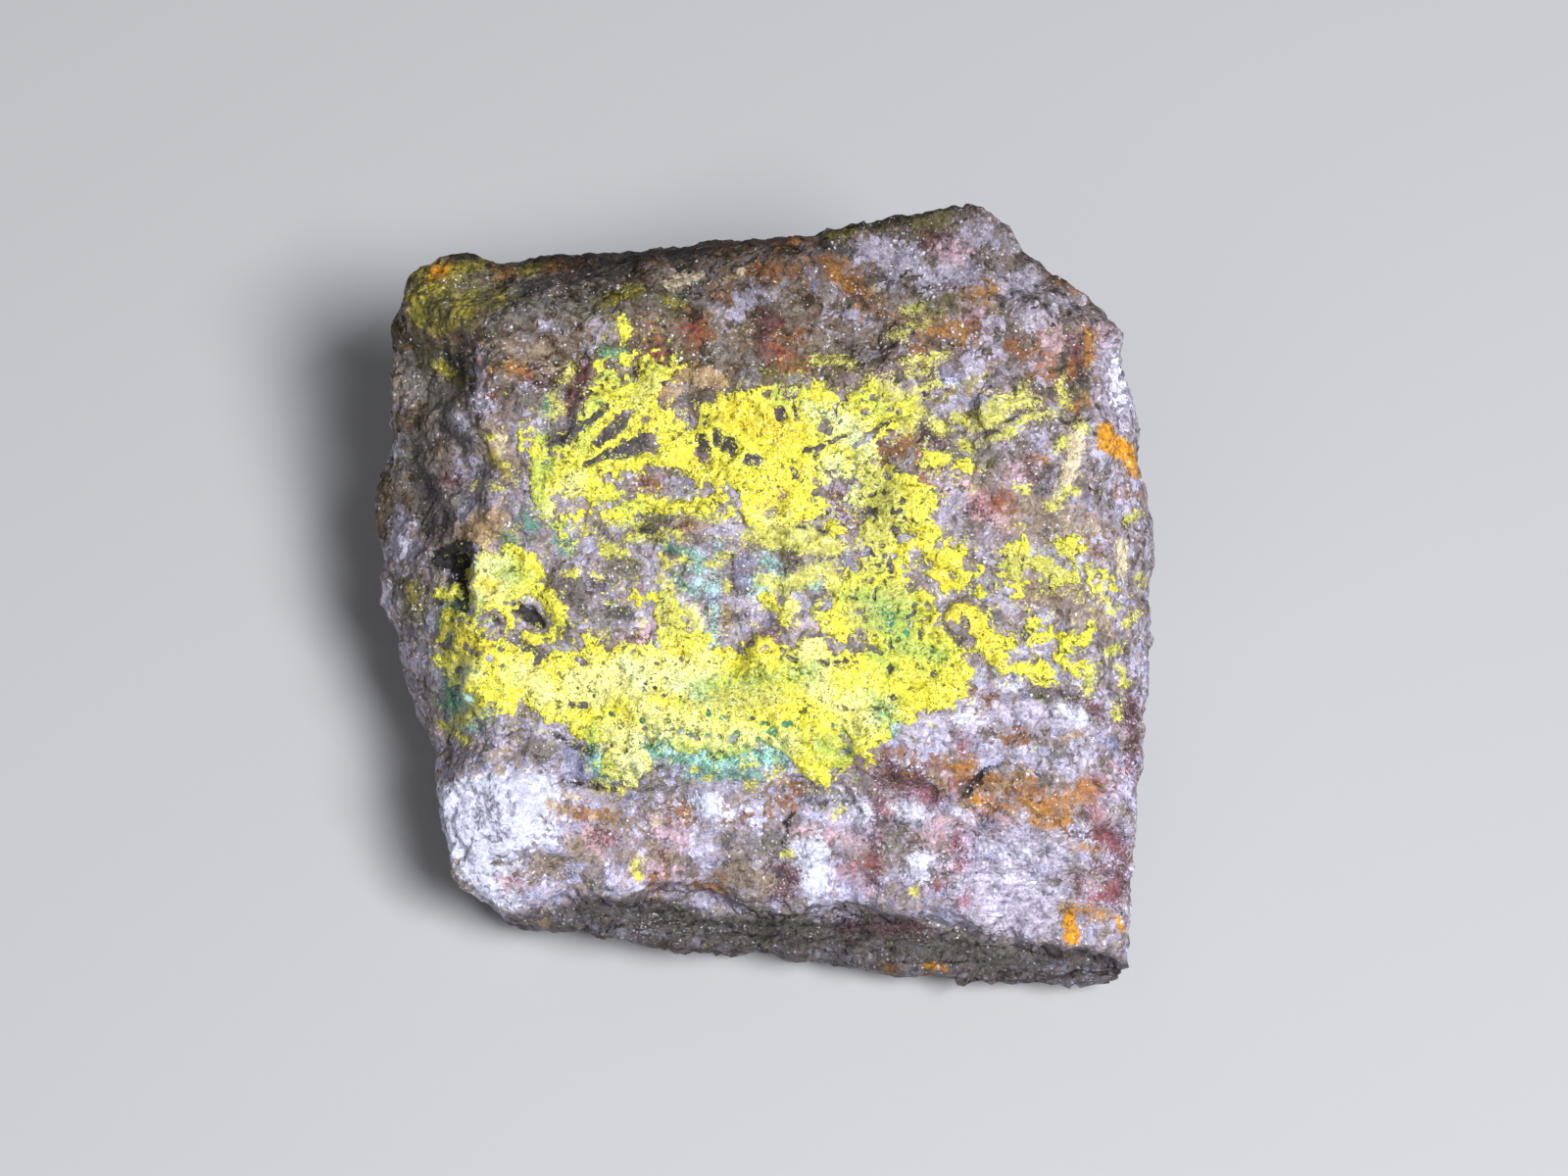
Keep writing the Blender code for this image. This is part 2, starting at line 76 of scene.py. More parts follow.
# Outlines of the thick crusts, as (X, Y) points
CRUST_OUTLINES = {
    "francevillite_crust": [
        # lower band
        [(-33.3, -5.9), (-32.3, -4.5), (-33.0, -2.8), (-32.6, -1.4), (-30.6, -2.4), (-28.8, -2.0),
         (-28.3, -3.0), (-28.6, -4.0), (-27.4, -4.8), (-26.8, -3.9), (-26.0, -4.2), (-25.6, -5.0),
         (-23.4, -5.2), (-23.2, -6.2), (-23.6, -7.2), (-22.6, -6.2), (-21.1, -5.1), (-20.0, -5.3),
         (-18.2, -4.7), (-18.2, -3.6), (-17.5, -3.4), (-16.8, -4.8), (-15.9, -5.3), (-14.8, -4.8),
         (-13.5, -4.5), (-11.8, -4.7), (-10.5, -4.5), (-10.1, -2.6), (-10.6, -0.8), (-10.2, 0.2), (-9.6, 1.0),
         (-8.9, 0.7), (-8.8, -0.8), (-8.1, -2.2), (-7.9, -3.3), (-6.0, -3.3), (-4.5, -3.7), (-5.4, -4.5),
         (-3.8, -4.9), (-2.4, -5.3), (-1.2, -4.6), (-0.4, -3.5), (0.1, -4.1), (1.7, -4.6), (3.5, -4.6),
         (4.6, -3.9), (5.2, -3.4), (5.9, -4.0), (6.3, -4.9), (7.3, -5.7), (9.1, -5.4), (10.6, -5.4),
         (13.0, -5.6), (16.0, -5.0), (19.0, -5.0), (20.3, -5.6), (21.3, -7.2), (21.1, -8.8), (20.0, -10.2),
         (18.4, -11.1), (17.2, -11.3), (15.9, -11.2), (15.7, -12.3), (14.6, -12.8), (13.6, -12.3),
         (12.9, -12.9), (12.9, -13.9), (11.8, -15.1), (10.7, -15.4), (11.5, -16.6), (10.7, -17.0),
         (9.8, -15.9), (9.3, -17.0), (7.6, -17.2), (6.3, -17.0), (7.2, -18.4), (6.7, -19.1), (5.6, -18.4),
         (3.9, -17.8), (2.8, -15.9), (1.6, -15.3), (-0.4, -14.9), (-2.2, -15.8), (-3.4, -16.1), (-5.2, -15.7),
         (-8.0, -15.4), (-9.8, -14.8), (-11.6, -14.3), (-12.6, -14.6), (-11.8, -15.8), (-11.5, -17.0),
         (-13.2, -18.8), (-14.2, -19.4), (-14.7, -18.4), (-16.0, -17.8), (-16.8, -16.6), (-15.6, -14.6),
         (-17.4, -14.7), (-19.0, -14.4), (-20.0, -12.7), (-21.6, -12.4), (-23.0, -11.6), (-24.5, -9.9),
         (-26.4, -9.8), (-27.2, -10.4), (-28.6, -8.6), (-30.4, -8.3), (-31.8, -8.4), (-32.6, -6.8)],
        # lump round the dark grain
        [(-29.2, 4.6), (-28.0, 5.0), (-26.6, 4.8), (-25.8, 5.9), (-24.8, 5.1), (-23.4, 4.7), (-22.6, 3.6),
         (-22.4, 1.8), (-21.4, 0.7), (-20.5, -0.6), (-20.1, -1.8), (-20.4, -2.8), (-21.2, -4.0),
         (-21.9, -3.5), (-21.2, -2.3), (-22.4, -0.8), (-22.9, 0.3), (-24.0, 0.4), (-25.2, 0.6), (-25.6, -1.4),
         (-25.4, -2.6), (-26.2, -2.8), (-26.4, -1.2), (-28.0, -1.6), (-29.4, -1.2), (-30.0, 0.4),
         (-29.8, 2.8)],
        # right arm
        [(9.2, 11.6), (9.7, 13.8), (11.8, 14.1), (12.6, 13.6), (14.0, 12.9), (15.6, 12.4), (16.8, 11.6),
         (17.5, 10.6), (17.4, 9.2), (16.8, 8.2), (17.6, 7.4), (18.8, 6.4), (20.4, 5.7), (20.4, 4.0),
         (21.0, 2.9), (21.3, 1.6), (20.0, 0.8), (18.4, 1.2), (17.0, 2.6), (17.3, 3.8), (16.6, 5.0),
         (15.3, 5.5), (14.7, 4.0), (14.4, 2.4), (14.6, 0.9), (16.6, 0.6), (17.7, -0.2), (17.8, -2.3),
         (18.5, -3.3), (19.4, -4.2), (20.3, -5.4), (19.0, -6.4), (12.6, -6.2), (11.3, -5.2), (11.0, -3.6),
         (10.2, -2.6), (8.2, -4.1), (6.8, -4.1), (6.5, -3.0), (5.3, -1.9), (5.3, -0.7), (6.7, -0.7),
         (7.4, 0.4), (8.6, 2.4), (9.8, 3.6), (10.5, 5.0), (9.8, 6.2), (10.0, 7.6), (10.6, 8.5), (9.6, 9.0),
         (8.4, 10.0)],
        # middle
        [(-7.2, 12.8), (-6.2, 12.1), (-4.6, 11.7), (-5.8, 10.6), (-6.4, 9.4), (-4.2, 8.9), (-2.6, 8.7),
         (-1.6, 7.9), (0.2, 7.2), (1.8, 7.6), (3.4, 7.9), (4.6, 8.2), (6.2, 8.9), (6.9, 9.4), (6.2, 10.2),
         (5.0, 10.3), (5.2, 11.2), (6.6, 12.0), (9.2, 12.5), (9.9, 13.8), (11.8, 14.2), (12.0, 16.4),
         (13.4, 17.0), (14.4, 18.2), (15.8, 19.0), (16.4, 20.0), (15.0, 20.6), (12.8, 20.2), (11.2, 20.4),
         (12.9, 21.0), (12.4, 21.8), (10.9, 22.1), (10.0, 21.2), (8.0, 20.8), (6.8, 21.5), (6.2, 22.2),
         (5.2, 22.1), (4.6, 21.6), (3.2, 21.6), (3.2, 20.8), (2.2, 20.9), (1.4, 21.6), (0.2, 21.6),
         (-1.2, 21.6), (-2.6, 21.0), (-3.4, 20.4), (-4.2, 20.9), (-5.0, 20.2), (-6.2, 19.5), (-6.4, 17.0),
         (-5.6, 16.6), (-5.2, 14.4), (-6.0, 13.8)],
    ],
    "right_crust_patch": [
        [(23.2, 1.8), (23.8, 2.8), (24.6, 3.0), (24.7, 4.8), (25.3, 5.8), (26.6, 6.4), (27.3, 5.4),
         (27.6, 4.6), (28.8, 4.2), (30.2, 3.9), (30.8, 3.2), (30.6, 1.5), (29.4, 1.6), (28.4, 1.9),
         (27.6, 2.0), (27.0, 1.2), (26.2, 0.5), (25.4, 1.0), (25.0, 1.8)],
    ],
    "right_crust_streak": [
        [(18.7, -1.6), (19.4, -0.9), (20.5, -0.3), (21.8, -1.0), (22.3, -1.6), (23.1, -1.3), (23.0, -2.4),
         (24.0, -3.5), (25.6, -3.8), (27.2, -4.5), (25.0, -4.6), (24.3, -5.2), (25.2, -6.3), (27.0, -6.5),
         (27.6, -6.9), (28.3, -6.3), (29.0, -6.6), (29.9, -7.4), (29.6, -8.5), (28.9, -8.8), (27.6, -8.2),
         (26.9, -7.6), (25.4, -7.5), (24.0, -6.8), (22.9, -6.0), (23.4, -5.2), (22.4, -5.4), (21.4, -5.3),
         (21.9, -4.2), (21.2, -3.2), (20.4, -2.0), (19.4, -2.0)],
    ],
}
# Their rays and crumbs: strokes of (X, Y, radius) points
CRUSTS = {
    "francevillite_crust": [
        [(-30.2, -5.4, 1.5), (-26.4, -6.8, 2.2), (-22.6, -7.8, 2.0)],
        [(-31.2, -4.0, 1.1), (-30.8, -7.4, 1.3), (-28.4, -9.4, 1.2), (-26.0, -10.4, 1.0)],
        # hub of the fan and its rays, from the lowest
        [(-22.4, 12.4, 1.5), (-21.0, 12.6, 1.9), (-19.0, 12.4, 1.7), (-17.4, 11.6, 1.3), (-15.6, 10.7, 0.8)],
        [(-22.8, 11.2, 1.0), (-22.6, 9.6, 0.6), (-21.6, 8.6, 0.5)],
        [(-21.0, 7.8, 0.4), (-20.2, 6.6, 0.3), (-19.4, 5.8, 0.25)],
        [(-21.4, 8.2, 0.6), (-19.6, 8.4, 0.5), (-17.4, 9.0, 0.5), (-15.4, 9.0, 0.5), (-13.2, 9.2, 0.7),
         (-11.4, 9.8, 0.8), (-10.2, 9.4, 0.6), (-8.4, 9.4, 0.7), (-6.4, 9.7, 0.9), (-4.8, 10.2, 1.0)],
        [(-20.4, 13.2, 1.3), (-17.6, 13.3, 0.8), (-15.0, 13.6, 0.75), (-12.4, 14.1, 0.75), (-10.2, 14.7, 0.8),
         (-9.2, 15.6, 1.4), (-8.6, 16.4, 1.3), (-7.6, 16.0, 0.9)],
        [(-9.4, 14.6, 0.8), (-7.8, 14.4, 1.2), (-6.9, 13.2, 0.9), (-6.3, 12.4, 0.6)],
        [(-18.8, 14.4, 0.6), (-16.2, 15.7, 0.5), (-14.4, 16.6, 0.5), (-13.3, 17.4, 0.7), (-12.6, 18.6, 0.7),
         (-11.8, 20.0, 0.7), (-11.4, 21.2, 0.9)],
        [(-11.9, 17.6, 0.5), (-10.8, 17.8, 0.7), (-9.4, 17.2, 1.2), (-8.2, 17.0, 0.9)],
        [(-11.2, 18.7, 0.5), (-9.6, 19.1, 0.6)],
        [(-20.2, 14.2, 0.9), (-18.2, 16.3, 0.75), (-16.6, 18.0, 0.7), (-15.0, 19.8, 0.9), (-13.6, 21.2, 1.4),
         (-12.4, 22.4, 1.7), (-10.8, 23.4, 1.3), (-9.0, 24.0, 0.7)],
        [(-18.4, 18.6, 0.3), (-17.2, 20.0, 0.8), (-16.0, 21.4, 1.2), (-14.4, 22.2, 1.2)],
        [(-16.6, 23.6, 0.6), (-15.2, 22.8, 0.8)],
        [(-14.4, 24.6, 0.6), (-13.2, 24.2, 0.7), (-11.2, 24.5, 0.6)],
        [(-24.4, 16.4, 0.5), (-23.4, 15.2, 0.8), (-22.2, 14.2, 0.9)],
        [(-23.4, 17.0, 0.3), (-21.8, 15.4, 0.6), (-20.6, 15.3, 0.4)],
        [(-14.6, 28.6, 0.35), (-13.8, 27.4, 0.35), (-14.2, 26.2, 0.3)],
        # crumbs
        [(-13.8, 0.4, 0.25), (-12.0, 0.2, 0.3), (-10.4, 0.0, 0.3)], [(-32.4, 0.6, 0.65), (-31.5, 0.7, 0.7)],
        [(-32.4, -1.4, 0.5), (-30.6, -1.8, 0.7), (-28.8, -1.9, 0.5)],
        [(-24.2, -3.9, 0.5), (-22.8, -4.2, 0.5)], [(0.0, -0.1, 0.4), (0.9, -0.3, 0.5)],
        [(1.8, -1.0, 0.6), (2.8, -0.8, 0.8), (2.6, -1.9, 0.7)], [(6.8, 7.6, 0.6), (7.6, 7.2, 0.6)],
        [(17.0, 14.4, 0.6), (18.6, 14.2, 0.6)], [(20.0, 13.7, 0.5), (20.9, 13.6, 0.5)],
    ],
    "right_crust_patch": [
        [(30.6, 5.3, 0.6), (31.4, 6.0, 0.5), (32.0, 6.0, 0.35)], [(31.6, 4.6, 0.6), (32.4, 5.2, 0.6)],
        [(31.0, 2.2, 0.65), (32.4, 2.0, 0.75)],
        [(33.6, 3.2, 0.5), (34.6, 2.2, 0.7), (34.0, 1.2, 0.5), (35.6, 1.2, 0.4)],
        [(22.2, 2.6, 0.5), (22.6, 3.0, 0.5)], [(22.0, 0.8, 0.35), (23.2, 0.7, 0.3)],
    ],
    "right_crust_streak": [
        [(27.0, -2.6, 0.4), (28.0, -2.3, 0.5), (28.6, -2.6, 0.35)],
        [(28.0, -3.8, 0.4), (28.8, -3.6, 0.5), (29.4, -3.6, 0.4)],
        [(30.6, -4.0, 0.6), (32.4, -4.2, 0.6), (33.4, -3.4, 0.4), (33.6, -2.6, 0.3)],
        [(31.0, -4.4, 0.6), (30.6, -5.2, 0.5), (30.0, -5.8, 0.35)], [(31.0, -6.4, 0.5), (31.4, -6.8, 0.35)],
        [(32.0, -7.4, 0.35), (32.4, -6.8, 0.4)],
    ],
}
# Gaps where the rock shows through the crusts
CRUST_GAPS = [
    [(-18.0, 13.9, 0.2), (-15.8, 14.7, 0.4), (-14.2, 15.0, 0.6), (-12.8, 15.6, 0.8), (-12.1, 16.3, 0.4)],
    [(-16.8, 15.7, 0.3), (-15.8, 16.8, 0.6), (-14.6, 17.9, 0.6), (-13.9, 18.9, 0.4)],
    [(-17.6, 18.0, 0.35), (-16.0, 19.5, 0.35)], [(-19.3, 16.9, 0.4), (-18.6, 18.0, 0.3)],
    [(-21.1, 16.2, 0.4), (-20.6, 16.5, 0.3)], [(-20.5, 14.8, 0.2), (-20.3, 14.7, 0.2)],
    [(-22.3, 14.0, 0.25), (-22.0, 14.1, 0.25)], [(-11.6, 16.6, 0.2), (-11.1, 15.2, 0.45)],
    [(-10.8, 17.4, 0.15), (-9.8, 17.9, 0.2)], [(-13.6, 23.4, 0.4), (-12.9, 22.6, 0.4)],
    [(-16.6, 13.2, 0.12), (-16.4, 13.3, 0.12)], [(-7.4, 11.9, 0.5), (-7.8, 11.0, 0.6)],
    [(-3.6, 11.4, 0.4), (-2.9, 10.4, 0.7), (-2.8, 9.6, 0.4)],
    [(-4.6, 17.0, 0.5), (-4.4, 15.9, 0.6), (-3.4, 15.7, 0.8), (-3.2, 14.9, 0.4)],
    [(-6.2, 16.6, 0.3), (-6.1, 14.4, 0.35)], [(-5.9, 18.8, 0.25), (-5.8, 18.0, 0.3)],
    [(-1.4, 14.3, 0.6), (-0.6, 14.2, 0.6)], [(2.9, 13.5, 0.35), (3.4, 12.6, 0.4), (2.8, 12.1, 0.15)],
    [(0.9, 19.8, 0.3), (1.9, 19.2, 0.5), (1.9, 18.6, 0.3)],
    [(2.7, 20.8, 0.3), (3.2, 19.8, 0.3), (3.5, 18.6, 0.12)],
    [(4.4, 15.3, 0.25), (5.4, 15.4, 0.35), (7.4, 16.4, 0.25), (8.4, 16.7, 0.3)],
    [(5.2, 15.0, 0.3), (5.4, 14.4, 0.25)],
    [(9.2, 15.5, 0.2), (10.4, 16.4, 0.3), (12.0, 17.6, 0.3), (13.2, 18.2, 0.2)],
    [(6.0, 17.6, 0.4), (6.8, 17.2, 0.5), (6.4, 18.2, 0.3)], [(5.6, 16.6, 0.25), (5.9, 16.4, 0.25)],
    [(9.4, 19.1, 0.25), (10.8, 19.1, 0.3)], [(6.4, 11.0, 0.4), (7.4, 11.4, 0.7), (8.8, 12.0, 0.3)],
    [(7.2, 10.2, 0.4), (8.0, 9.6, 0.6), (8.7, 8.4, 0.6), (9.5, 7.0, 0.4)],
    [(5.4, 12.1, 0.25), (5.8, 12.1, 0.25)], [(8.2, 13.0, 0.2), (8.4, 12.9, 0.2)],
    [(12.4, 12.9, 0.2), (12.8, 12.6, 0.25)], [(12.2, 11.3, 0.25), (12.4, 10.9, 0.25)],
    [(13.2, 9.2, 0.25), (13.4, 8.9, 0.25)], [(10.4, 12.6, 0.15), (11.0, 12.2, 0.2)],
    [(11.6, 7.4, 0.2), (12.2, 7.0, 0.15)], [(10.6, 5.2, 0.3), (11.4, 4.6, 0.25)],
    [(9.8, 9.0, 0.2), (11.8, 8.9, 0.25)], [(13.5, 7.2, 0.35), (14.0, 6.2, 0.5), (15.3, 6.6, 0.35)],
    [(0.5, 8.8, 0.35), (1.2, 9.0, 0.35)], [(17.4, 5.2, 0.4), (18.0, 5.6, 0.4)],
    [(19.2, 2.8, 0.3), (19.5, 2.3, 0.35)], [(-26.2, -0.4, 0.25), (-26.0, -0.3, 0.25)],
    [(-27.6, -2.0, 0.5), (-26.8, -2.3, 0.7)], [(-22.7, -5.0, 0.5), (-23.1, -6.2, 0.35), (-23.5, -7.2, 0.2)],
    [(-5.4, -4.6, 0.2), (-4.2, -4.6, 0.3)], [(-29.6, -6.8, 0.2), (-29.4, -6.9, 0.25)],
    [(-27.6, -8.7, 0.25), (-27.2, -9.1, 0.3)], [(-31.4, -5.3, 0.12), (-30.8, -5.4, 0.12)],
    [(-19.0, -5.9, 0.25), (-18.2, -6.6, 0.3)], [(-19.6, -10.8, 0.3), (-18.2, -10.9, 0.4)],
    [(-15.4, -11.6, 0.3), (-14.7, -12.1, 0.35)], [(-14.9, -7.0, 0.25), (-14.6, -7.0, 0.25)],
    [(-9.4, -13.1, 0.15), (-7.6, -13.6, 0.25), (-7.0, -13.9, 0.45)],
    [(-5.6, -11.4, 0.25), (-5.4, -11.7, 0.2)], [(-4.2, -11.8, 0.25), (-3.4, -11.9, 0.2)],
    [(0.0, -12.6, 0.3), (0.6, -12.7, 0.25)], [(0.6, -13.5, 0.5), (1.2, -13.5, 0.5)],
    [(-0.4, -14.3, 0.3), (-0.2, -14.6, 0.35)], [(2.6, -5.8, 0.25), (3.4, -6.4, 0.35)],
    [(5.4, -6.2, 0.3), (7.0, -6.5, 0.3), (9.6, -6.3, 0.25)], [(12.8, -6.9, 0.3), (13.1, -7.2, 0.35)],
    [(13.5, -10.0, 0.35), (13.8, -10.1, 0.3)],
    [(7.0, -13.0, 0.2), (8.2, -13.0, 0.4), (8.4, -14.0, 0.5), (8.9, -15.4, 0.25)],
    [(8.3, -12.9, 0.2), (9.6, -13.2, 0.15)], [(11.7, -11.2, 0.2), (12.0, -11.4, 0.2)],
    [(12.4, -11.6, 0.35), (12.8, -12.6, 0.3)], [(26.9, 2.8, 0.5), (27.8, 2.4, 0.5)],
]
# Where the crusts thin out and break up into grains
CRUST_SPARSE = [
    [(8.4, 20.6, 0.8), (11.6, 20.4, 1.6), (15.0, 19.4, 1.8), (13.0, 17.6, 1.6)],
    [(6.4, 18.6, 0.9), (8.2, 19.8, 1.0)], [(11.0, 15.4, 1.2), (11.6, 14.4, 0.8)],
    [(10.6, 11.8, 1.0), (11.4, 8.2, 1.2)], [(-5.0, 10.0, 1.4), (-3.0, 9.8, 1.2)],
    [(7.0, 13.6, 1.4), (8.4, 13.8, 1.0)],
    [(11.8, 6.0, 1.4), (12.4, 3.6, 1.8), (11.0, 1.4, 1.6), (9.6, -0.8, 1.4)],
    [(14.4, 7.8, 1.2), (16.0, 6.8, 1.0)],
    [(12.4, -1.4, 1.8), (13.4, -3.8, 1.6), (16.0, -1.4, 1.4), (16.6, -3.2, 1.2)],
    [(-24.6, 16.2, 1.2), (-22.6, 16.0, 1.2)], [(-20.6, 8.2, 1.0), (-17.0, 8.8, 0.8)],
    [(-14.0, 24.4, 1.0), (-11.0, 24.6, 1.0), (-9.2, 24.2, 0.8)], [(-16.2, 22.6, 1.4), (-14.6, 22.8, 1.2)],
    [(-8.6, 9.4, 1.0), (-7.0, 9.6, 0.8)], [(23.0, 2.4, 1.2), (26.0, 1.2, 1.0), (29.0, 2.0, 1.0)],
    [(33.0, 3.0, 1.6), (35.4, 1.4, 1.2)], [(-30.6, -1.8, 1.0), (-28.4, -1.6, 0.8)],
    [(-32.0, -3.4, 0.8), (-32.4, -6.8, 0.6)], [(20.2, 5.4, 0.8), (19.0, 6.6, 0.8)],
    [(2.0, 20.8, 1.2), (0.8, 21.4, 0.9)], [(-2.0, -5.0, 0.8), (1.6, -5.6, 0.9)],
]
# Parts with round pinholes
CRUST_PINHOLES = [
    [(-17.4, -11.0, 2.6), (-13.0, -11.0, 3.0), (-6.0, -12.4, 2.4), (2.0, -13.6, 1.8), (9.0, -13.6, 2.6)],
    [(12.0, 11.6, 2.4), (13.0, 8.6, 2.4), (11.4, 3.0, 2.4), (14.4, -2.6, 3.0)],
    [(-12.4, -5.6, 1.2), (-9.6, -5.4, 1.6)], [(1.6, 9.8, 1.8), (2.6, 8.6, 1.4)],
    [(-26.0, -5.0, 2.4), (-30.4, -6.2, 1.6)], [(16.4, -7.0, 2.0), (18.6, -8.0, 1.4)],
]
# Where the lower band ends in a thick broken edge
THICK_EDGE = [
    [(-18.0, -12.0, 1.2), (-14.4, -15.4, 2.2), (-12.0, -13.4, 1.4), (-6.0, -14.0, 1.4), (2.0, -14.4, 1.6),
     (5.0, -16.4, 1.6), (9.0, -13.8, 1.4), (14.4, -11.2, 1.2), (19.6, -8.6, 1.0)],
]

